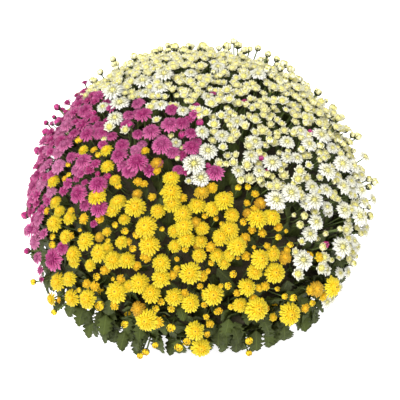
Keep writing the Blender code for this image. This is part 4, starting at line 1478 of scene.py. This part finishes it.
def leafSpots(draw):
    spots = []

    def add(place, tip, up, length, form, tones):
        up = Matrix.Rotation(draw.uniform(*foliage["roll"]), 3, tip) @ up
        tone = draw.uniform(*tones)
        spots.append({"place": place, "tip": tip, "up": up, "length": length, "form": form, "tone": tone})

    spread = foliage["innerSpread"]
    for index, polar in enumerate(evenPolarAngles(foliage["inner"], foliage["innerEdge"])):
        azimuth = index * goldenTurn + draw.uniform(-spread, spread)
        length = draw.uniform(*foliage["innerLength"])
        colour = colourAt(moundPoint(polar, azimuth))
        depth = draw.uniform(*foliage["innerDepth"][colour])
        tones = foliage["innerShadeTone"][colour]
        add(*innerLeaf(polar, azimuth, depth, length, draw), length, 1 + index % 2, tones)
    spread = foliage["rowSpread"]
    for count, polars, lengths, depths, dips, tones in foliage["rows"]:
        for index in range(count):
            azimuth = index * goldenTurn + draw.uniform(-spread, spread)
            polar = math.radians(draw.uniform(*polars))
            length, depth = draw.uniform(*lengths), draw.uniform(*depths)
            if dips:
                placed = fringeLeaf(polar, azimuth, depth, dips, draw)
            else:
                placed = innerLeaf(polar, azimuth, depth, length, draw)
            form = 0 if math.sin(azimuth) < 0 else 1  # the leaves in front are finer
            add(*placed, length, form, tones)
    return spots


def hidesBloom(spot):
    # Whether the leaf would stand in front of a pictured bloom
    near, far = foliage["ahead"]
    for share in foliage["checked"]:
        point = spot["place"] + spot["tip"] * spot["length"] * share
        view = np.array((camera.location - point).normalized())
        away = np.array(point) - picturedPlaces
        ahead = away @ view
        apart = np.linalg.norm(away - ahead[:, None] * view, axis=1)
        if ((ahead > near) & (ahead < far) & (apart < picturedRadii + foliage["clearOf"])).any():
            return True
    return False


def isPast(spot):
    # Whether the tip of a leaf in view stands out of the picture's outline
    tip = spot["place"] + spot["tip"] * spot["length"]
    across, down = pixelOf(tip)
    x, y, wide, high, power = foliage["outline"]
    share = abs((across - x) / wide) ** power + (max(down - y, 0) / high) ** power
    return down > y and share > 1


def leafMeshAt(spots, forms):
    # Leaves fused into one mesh, each turned so that its tip and upper face look the right way
    leaves = []
    for spot in spots:
        side = spot["tip"].cross(spot["up"])
        turned = Matrix((side, spot["tip"], spot["up"])).transposed().to_4x4()
        placed = forms[spot["form"]].copy()
        placed.transform(Matrix.Translation(spot["place"]) @ turned @ Matrix.Scale(spot["length"], 4))
        tone = placed.attributes.new("tone", "FLOAT", "POINT")
        tone.data.foreach_set("value", [spot["tone"]] * len(placed.vertices))
        leaves.append(placed)
    return joined("Leaves", leaves)


leafForms = [leafMesh(name, *detail) for name, detail in foliage["forms"].items()]
picturedHeads = [head for head in allOfThem if "pictured" in head]
picturedPlaces = np.array([head["place"] for head in picturedHeads])
picturedRadii = np.array([head["radius"] for head in picturedHeads])
allLeaves = leafSpots(random.Random(foliage["seed"]))
allLeaves = [spot for spot in allLeaves if not hidesBloom(spot) and not isPast(spot)]
for colour in colours:
    own = [spot for spot in allLeaves if colourAt(spot["place"]) == colour]
    whole = leafMeshAt(own, leafForms)
    addPiece(colour + "PlantLeaves", whole, "foliage", [colour + "_plant"], finishes["leaf"])
    print("Leaves,", colour + ":", len(own), "with", trianglesIn(whole), "triangles")


# Stalks, stems and the leafy inside, a dark core of painted shade

stems = {
    "sides": 3,
    "radius": {"crown": 0.0060, "branch": 0.0022, "stalk": 0.0011},
    "lines": {  # points, then shares of the radius and paleness at the first and last ends
        "crown": (4, (1.0, 0.9), (0.1, 0.1)),
        "branch": (5, (1.2, 1.0), (0.1, 0.2)),
        "stalk": (4, (1.0, 1.3), (0.75, 0.2)),
    },
    "crowns": perColour((-0.012, -0.074), (-0.076, -0.008), (0.040, 0.052)),
    "crownFoot": 0.085,
    "crownTop": 0.200,
    "crownLean": 0.25,
    "forkDepth": 0.085,
    "branchLift": 0.02,
    "seatShare": 0.25,  # of a bloom's radius lies between its place and the end of its stalk
    "stalkBend": 0.045,
    "clearOf": 0.009,
    "standing": 1.4,  # thickness of the stalks that stand clear of the bloom layer
    "hidden": 0.9,  # and of the others
}


def stemLine(kind, start, control, end, thickness=1.0):
    # Points along a bent stem, each a place, a radius and a paleness
    count, shares, pales = stems["lines"][kind]
    radius = stems["radius"][kind] * thickness
    ends = [radius * share for share in shares]
    line = []
    for k in range(count):
        t = k / (count - 1)
        place = start * (1 - t) ** 2 + control * 2 * t * (1 - t) + end * t * t
        line.append((place, between(ends, t), between(pales, t)))
    return line


def stemTree():
    tree, sizes = newGeometryTree("Stems", {"Sides": 5, "Finish": "Material"})
    start = sizes["Geometry"]
    curves = start.node("GeometryNodeMeshToCurve", {}, {"Mesh": start})
    ring = start.node("GeometryNodeCurvePrimitiveCircle", {}, {"Resolution": sizes["Sides"], "Radius": 1.0})
    tubes = start.node("GeometryNodeCurveToMesh", {}, {
        "Curve": curves, "Profile Curve": ring, "Scale": readSpot(start, "girth"), "Fill Caps": True,
    })
    endTree(tree, tubes, sizes["Finish"])
    return tree


def tubes(lines):
    # Round stems along the lines, in one mesh
    places, girths, pales = zip(*(point for line in lines for point in line))
    edges, base = [], 0
    for line in lines:
        edges += [(base + k, base + k + 1) for k in range(len(line) - 1)]
        base += len(line)
    mesh = bpy.data.meshes.new("Lines")
    mesh.from_pydata(places, edges, [])
    for name, values in (("girth", girths), ("pale", pales)):
        mesh.attributes.new(name, "FLOAT", "POINT").data.foreach_set("value", values)
    sizes = {"Sides": stems["sides"], "Finish": finishes["stem"]}
    return grown(mesh, trees["stem"], sizes, once=True)


def isBeside(point):
    # Stands clear of the bloom layer
    polar, azimuth = moundAngles(point)
    return (point - moundPoint(polar, azimuth)).length > stems["clearOf"]


def stemLines(colour):
    x, y = stems["crowns"][colour]
    out = 1 + stems["crownLean"]
    foot, top = Vector((x, y, stems["crownFoot"])), Vector((x * out, y * out, stems["crownTop"]))
    lines = [stemLine("crown", foot, (foot + top) / 2, top)]
    for number, bunch in enumerate(bunches):
        if bunch[0]["colour"] != colour:
            continue
        own = [head for head in allOfThem if head["bunch"] == number]
        middle = middleOf(own)
        fork = middle - normalAt(middle) * stems["forkDepth"]
        raised = (top + fork) / 2 + Vector((0, 0, stems["branchLift"]))
        lines.append(stemLine("branch", top, raised, fork))
        for head in own:
            seat = head["place"] - head["look"] * head["radius"] * stems["seatShare"]
            control = seat - head["look"] * stems["stalkBend"]
            thickness = stems["standing" if isBeside(head["place"]) else "hidden"]
            lines.append(stemLine("stalk", seat, control, fork, thickness))
    return lines


calyx = {
    "rings": {  # radius and height
        "bloom": ((0.55, -0.85), (1.0, -0.05)),
        "bud": ((0.40, -0.90), (0.86, -0.52), (1.02, 0.0)),
    },
    "sides": {"bloom": 5, "bud": 8},
    "ends": (-1.0, -0.25),
    "points": 0.24,  # height of the bracts' points
    "budDrop": 0.06,
    "size": {"Full": 0.36, "Young": 0.42, "Half": 0.46, "Daisy": 0.34, "Cup": 0.50, "Bud": 0.98},
}


def calyxMesh(kind):
    # A shallow cup with pointed bracts, closed on top, of radius 1
    shape = bmesh.new()
    outline, sides = calyx["rings"][kind], calyx["sides"][kind]
    rings = []
    for radius, height in outline:
        point = calyx["points"] if (radius, height) == outline[-1] else 0
        spots = [around(radius, k * math.tau / sides, height + point * (k % 2)) for k in range(sides)]
        rings.append([shape.verts.new(spot) for spot in spots])
    low, high = [shape.verts.new((0, 0, end)) for end in calyx["ends"]]
    skin(shape, [[low], *rings, [high]])
    return meshOf(shape, "Calyx")


def calyxSpot(head):
    # A bloom or bud's spot for the form of its calyx
    stage = colourAndStage(head["kind"])[1]
    size = head["radius"] * calyx["size"][stage]
    isBud = stage == "Bud"
    place = head["place"] - head["look"] * size * (calyx["budDrop"] if isBud else 0)
    return dict(head, form=int(isBud), size=(size,) * 3, place=place)


trees["stem"] = stemTree()
calyxForms = bpy.data.collections.new("Calyx forms")
for k, kind in enumerate(calyx["rings"]):
    newObject(f"form{k:02d}", calyxMesh(kind), calyxForms)
for colour in colours:
    cups = [calyxSpot(head) for head in allOfThem if head["colour"] == colour]
    parts = [tubes(stemLines(colour)), scattered(cups, calyxForms, finishes["stem"])]
    whole = joined(colour + " stems", parts)
    addPiece(colour + "PlantStems", whole, "foliage", [colour + "_plant"], finishes["stem"])
    print("Stems,", colour + ":", trianglesIn(whole), "triangles")


inside = {
    "steps": 72,
    "rings": 26,
    "polar": (0.02, math.radians(109)),
    "upperDepth": 0.046,
    "lowerDepth": 0.032,
    "foot": ((0.242, 0.146), (0.174, 0.156), (0.146, 0.184), (0.06, 0.186)),  # radius and height over the pot
    "lumps": ((34, 0.007), (90, 0.003)),  # scale and height
}


def insideMesh():
    # The leafy inside, which stands for the inner leaves and is painted dark as their shade: the mound's
    # form, smaller and rough, closed over the pot
    turns = [math.tau * k / inside["steps"] for k in range(inside["steps"])]
    rows = []
    for polar in np.linspace(*inside["polar"], inside["rings"]):
        depth = inside["upperDepth" if polar < math.pi / 2 else "lowerDepth"]
        rows.append([moundPoint(polar, turn, depth) for turn in turns])
    rows += [[around(radius, turn, height) for turn in turns] for radius, height in inside["foot"]]
    shape = bmesh.new()
    rings = []
    for row in rows:
        ring = []
        for point in row:
            lump = sum(noise.noise(point * scale) * height for scale, height in inside["lumps"])
            ring.append(shape.verts.new(point + normalAt(point) * lump))
        rings.append(ring)
    skin(shape, rings)
    shape.faces.new(rings[0])
    shape.faces.new(rings[-1])
    return meshOf(shape, "Inside")


plants = [colour + "_plant" for colour in colours]
# the leafy inside is a dark core of painted shade under the blooms and leaves
addPiece("leafyInside", insideMesh(), "foliage", plants, finishes["inside"])
print("Leafy inside made")


# Pot

pot = {
    "baseRadius": 0.095,
    "wall": 0.0025,
    "rimHeight": 0.022,
    "rimReach": 0.005,
    "lip": 0.0012,  # radius of the rounded edges
    "cornerSteps": 4,
    "steps": 120,
    "sharp": math.radians(50),  # edges steeper than this stay sharp
    "drains": 4,
    "drainSides": 24,
    "drainRadius": 0.007,
    "drainCircle": 0.062,
    "colours": (tint(36, 37, 39), tint(50, 50, 53)),
    "dustColour": tint(92, 88, 82),
    "bump": 0.0001,
    "grain": 700.0,
    "roughness": (0.38, 0.60),
    "smears": (30.0, 4.0),  # scale and detail, as in the next two
    "patches": (14.0, 4.0),
    "dust": (40.0, 5.0),
    "dustEdge": (0.42, 0.70),
    "dustHeight": 0.05,
    "dustShare": 0.4,
}
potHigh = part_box("pot")[1]
pot["height"] = potHigh[2]
pot["topRadius"] = potHigh[0] - pot["rimReach"]


def innerRadius(height):
    share = height / pot["height"]
    return between((pot["baseRadius"], pot["topRadius"]), share) - pot["wall"]


def arc(middle, radius, start, end):
    # Points of a round corner, between two directions in degrees
    shares = [k / pot["cornerSteps"] for k in range(pot["cornerSteps"] + 1)]
    turns = [math.radians(start + (end - start) * share) for share in shares]
    return [(middle[0] + radius * math.cos(turn), middle[1] + radius * math.sin(turn)) for turn in turns]


def turnedMesh(name, outline, steps, relief=None):
    # A closed mesh turned from points (radius, height) whose first and last lie on the axis
    shape = bmesh.new()
    rings = []
    for radius, height in outline:
        count = 1 if radius == 0 else steps
        spots = [Vector((radius, 0, height)) for _ in range(count)]
        for k, spot in enumerate(spots):
            spot.rotate(Matrix.Rotation(math.tau * k / steps, 3, "Z"))
            if relief:
                spot += Vector((0, 0, relief(spot)))
        rings.append([shape.verts.new(spot) for spot in spots])
    skin(shape, rings)
    return meshOf(shape, name)


def potMesh():
    rim, lip, wall = pot["topRadius"] + pot["rimReach"], pot["lip"], pot["wall"]
    under = pot["height"] - pot["rimHeight"]
    outline = [(0, wall), (innerRadius(wall) - lip, wall)]
    outline += arc((innerRadius(wall) - lip, wall + lip), lip, -90, 0)
    outline += arc((innerRadius(pot["height"]) + lip, pot["height"] - lip), lip, 180, 90)
    outline += arc((rim - lip, pot["height"] - lip), lip, 90, 0)
    outline += arc((rim - lip, under + lip), lip, 0, -90)
    outline += [(innerRadius(under) + wall, under), (innerRadius(under / 2) + wall, under / 2)]
    outline += arc((pot["baseRadius"] - lip, lip), lip, 0, -90)
    outline.append((0, 0))
    whole = newObject("Pot", turnedMesh("Pot", outline, pot["steps"]))
    drills = bpy.data.collections.new("Drills")
    radius = pot["drainRadius"]
    for k in range(pot["drains"]):
        middle = around(pot["drainCircle"], math.tau * (k + 0.5) / pot["drains"])
        shape = bmesh.new()
        bmesh.ops.create_cone(shape, cap_ends=True, segments=pot["drainSides"], radius1=radius,
                              radius2=radius, depth=4 * wall)
        for vert in shape.verts:
            vert.co += middle
        newObject("Drill", meshOf(shape, "Drill"), drills)
    cut = whole.modifiers.new("Drains", "BOOLEAN")
    cut.operand_type = "COLLECTION"
    cut.collection = drills
    mesh = evaluatedMesh(whole)
    bpy.data.objects.remove(whole)
    removeForms(drills)
    mesh.set_sharp_from_angle(angle=pot["sharp"])
    mesh.materials.clear()
    return mesh


def potPaint(start):
    # Near-black plastic, dusty where it stood in the bed
    spot = start.node("ShaderNodeTexCoord", out="Object")
    height = start.node("ShaderNodeSeparateXYZ", {}, {0: spot}, out=2)
    plastic = mixed(start, speckle(start, *pot["patches"]), *pot["colours"])
    dust = eased(start, speckle(start, *pot["dust"]), *pot["dustEdge"])
    dusty = (1 - eased(start, height, 0.0, pot["dustHeight"])) * dust
    return mixed(start, dusty * pot["dustShare"], plastic, pot["dustColour"])


def potBump(start):
    return speckle(start, pot["grain"])


def potRoughness(start):
    return between(pot["roughness"], speckle(start, *pot["smears"]))


finishes["pot"] = newFinish("pot plastic", pot, potPaint, potBump, potRoughness)
addPiece("growersPot", potMesh(), "pot_plastic", ["pot"], finishes["pot"])
print("Pot made")


# Soil

soil = {
    "belowRim": 0.022,
    "crown": 0.006,
    "clear": 0.0006,
    "relief": 0.0024,
    "lumps": ((55, 1.0), (140, 0.5)),  # scale and share of the relief
    "flatness": 6,  # power by which the lumps die away at the wall
    "rings": 26,
    "steps": 90,
    "crumbs": 900,
    "crumbForms": 3,
    "crumbReach": 0.97,
    "crumbSpread": 0.2,
    "crumbTone": (-1, 0.4),
    "crumbSize": (0.0010, 0.0034),
    "crumbRoughness": (0.75, 1.25),
    "crumbLumps": 1.7,
    "crumbStep": 5,  # between the lumps of the forms
    "crumbShape": (1.0, 0.7, 0.8),
    "fibreShape": (0.4, 0.7, 1.6),
    "fibreShare": 0.10,  # of the crumbs are pale
    "seed": 9,
    "peat": (tint(30, 22, 16), tint(66, 50, 36)),
    "fibre": tint(150, 126, 90),
    "roughness": 0.95,
    "bump": 0.0008,
    "patches": (180.0, 5.0),  # scale and detail
    "grain": (600.0, 4.0),
    "fibreTone": (0.5, 1.0),
}
soil["top"] = pot["height"] - soil["belowRim"]
soil["radius"] = innerRadius(soil["top"]) - soil["clear"]


def soilHeight(across):
    return soil["top"] + soil["crown"] * (1 - (across / soil["radius"]) ** 2)


def soilRelief(spot):
    # Lumps on the top that die away at the wall
    if spot.z < soil["top"] - soil["clear"]:
        return 0.0
    fade = 1 - (math.hypot(spot.x, spot.y) / soil["radius"]) ** soil["flatness"]
    lumps = sum(noise.noise(spot * scale) * share for scale, share in soil["lumps"])
    return soil["relief"] * fade * lumps


def crumbMesh(number):
    shape = bmesh.new()
    bmesh.ops.create_icosphere(shape, subdivisions=1, radius=1.0)
    for vert in shape.verts:
        spot = vert.co * soil["crumbLumps"] + Vector((number * soil["crumbStep"], 0, 0))
        vert.co *= between(soil["crumbRoughness"], noise.noise(spot))
    return meshOf(shape, "Crumb")


def crumbSpots(draw):
    spots = []
    spread = soil["crumbSpread"]
    for index in range(soil["crumbs"]):
        across = soil["radius"] * soil["crumbReach"] * math.sqrt((index + 0.5) / soil["crumbs"])
        place = Vector((across, 0, soilHeight(across)))
        place.rotate(Matrix.Rotation(index * goldenTurn + draw.uniform(-spread, spread), 3, "Z"))
        place.z += soilRelief(place)
        size = draw.uniform(*soil["crumbSize"])
        isFibre = draw.random() < soil["fibreShare"]
        spots.append({
            "place": place, "look": anyWay(draw).normalized(), "turn": draw.uniform(0, math.tau),
            "size": [size * share for share in soil["fibreShape" if isFibre else "crumbShape"]],
            "form": index % soil["crumbForms"], "tone": 1.0 if isFibre else draw.uniform(*soil["crumbTone"]),
        })
    return spots


def soilPaint(start):
    peat = mixed(start, speckle(start, *soil["patches"]), *soil["peat"])
    fibre = eased(start, readNumber(start, "tone"), *soil["fibreTone"])
    return mixed(start, fibre, peat, soil["fibre"])


def soilMesh():
    outline = []
    for k in range(soil["rings"] + 1):
        across = soil["radius"] * k / soil["rings"]
        outline.append((across, soilHeight(across)))
    foot = pot["wall"] + soil["clear"]
    outline += [(innerRadius(foot) - soil["clear"], foot), (0, foot)]
    crumbs = bpy.data.collections.new("Crumbs")
    for k in range(soil["crumbForms"]):
        newObject(f"form{k:02d}", crumbMesh(k), crumbs)
    bed = turnedMesh("Soil", outline, soil["steps"], soilRelief)
    loose = scattered(crumbSpots(random.Random(soil["seed"])), crumbs, finishes["soil"])
    removeForms(crumbs)
    return joined("Soil", [bed, loose])


def soilBump(start):
    return speckle(start, *soil["grain"])


finishes["soil"] = newFinish("potting soil", soil, soilPaint, soilBump)
addPiece("pottingSoil", soilMesh(), "potting_soil", ["soil"], finishes["soil"])
print("Soil made")


# Stage

stage = {
    "floor": 4.0,
    "sky": 1.25,
    "sunStrength": 2.9,
    "sunSoftness": math.radians(30),
    "sunWay": Vector((0.35, 0.55, -1.0)),
}
floorLook = {
    "colours": (tint(243, 243, 243), tint(247, 247, 247)),
    "roughness": 0.9,
    "glow": 0.60,
    "patches": 3.0,
}


def floorPaint(start):
    return mixed(start, speckle(start, floorLook["patches"]), *floorLook["colours"])


def makeStage():
    half = stage["floor"] / 2
    corners = [(-half, -half, 0), (half, -half, 0), (half, half, 0), (-half, half, 0)]
    mesh = bpy.data.meshes.new("Floor")
    mesh.from_pydata(corners, [], [(0, 1, 2, 3)])
    mesh.materials.append(newFinish("floor", floorLook, floorPaint, light=(1, 1, 1, 1)))
    floor = newObject("Floor", mesh)
    world = bpy.data.worlds.new("Studio")
    bpy.context.scene.world = world
    world.use_nodes = True
    sky = world.node_tree.nodes["Background"]
    sky.inputs["Color"].default_value = (1, 1, 1, 1)
    sky.inputs["Strength"].default_value = stage["sky"]
    light = bpy.data.lights.new("Key", "SUN")
    light.energy = stage["sunStrength"]
    light.angle = stage["sunSoftness"]
    key = newObject("Key", light)
    key.rotation_euler = stage["sunWay"].to_track_quat("-Z", "Y").to_euler()
    bpy.context.scene.view_settings.view_transform = "Standard"


makeStage()
for forms in [*formsOf.values(), calyxForms]:
    removeForms(forms)
added = [obj for obj in bpy.data.objects if obj.type == "MESH" and obj.name not in frame["nodes"]]
total = sum(trianglesIn(obj.data) for obj in added)
print("Triangles in all:", total)

bpy.context.view_layer.update()
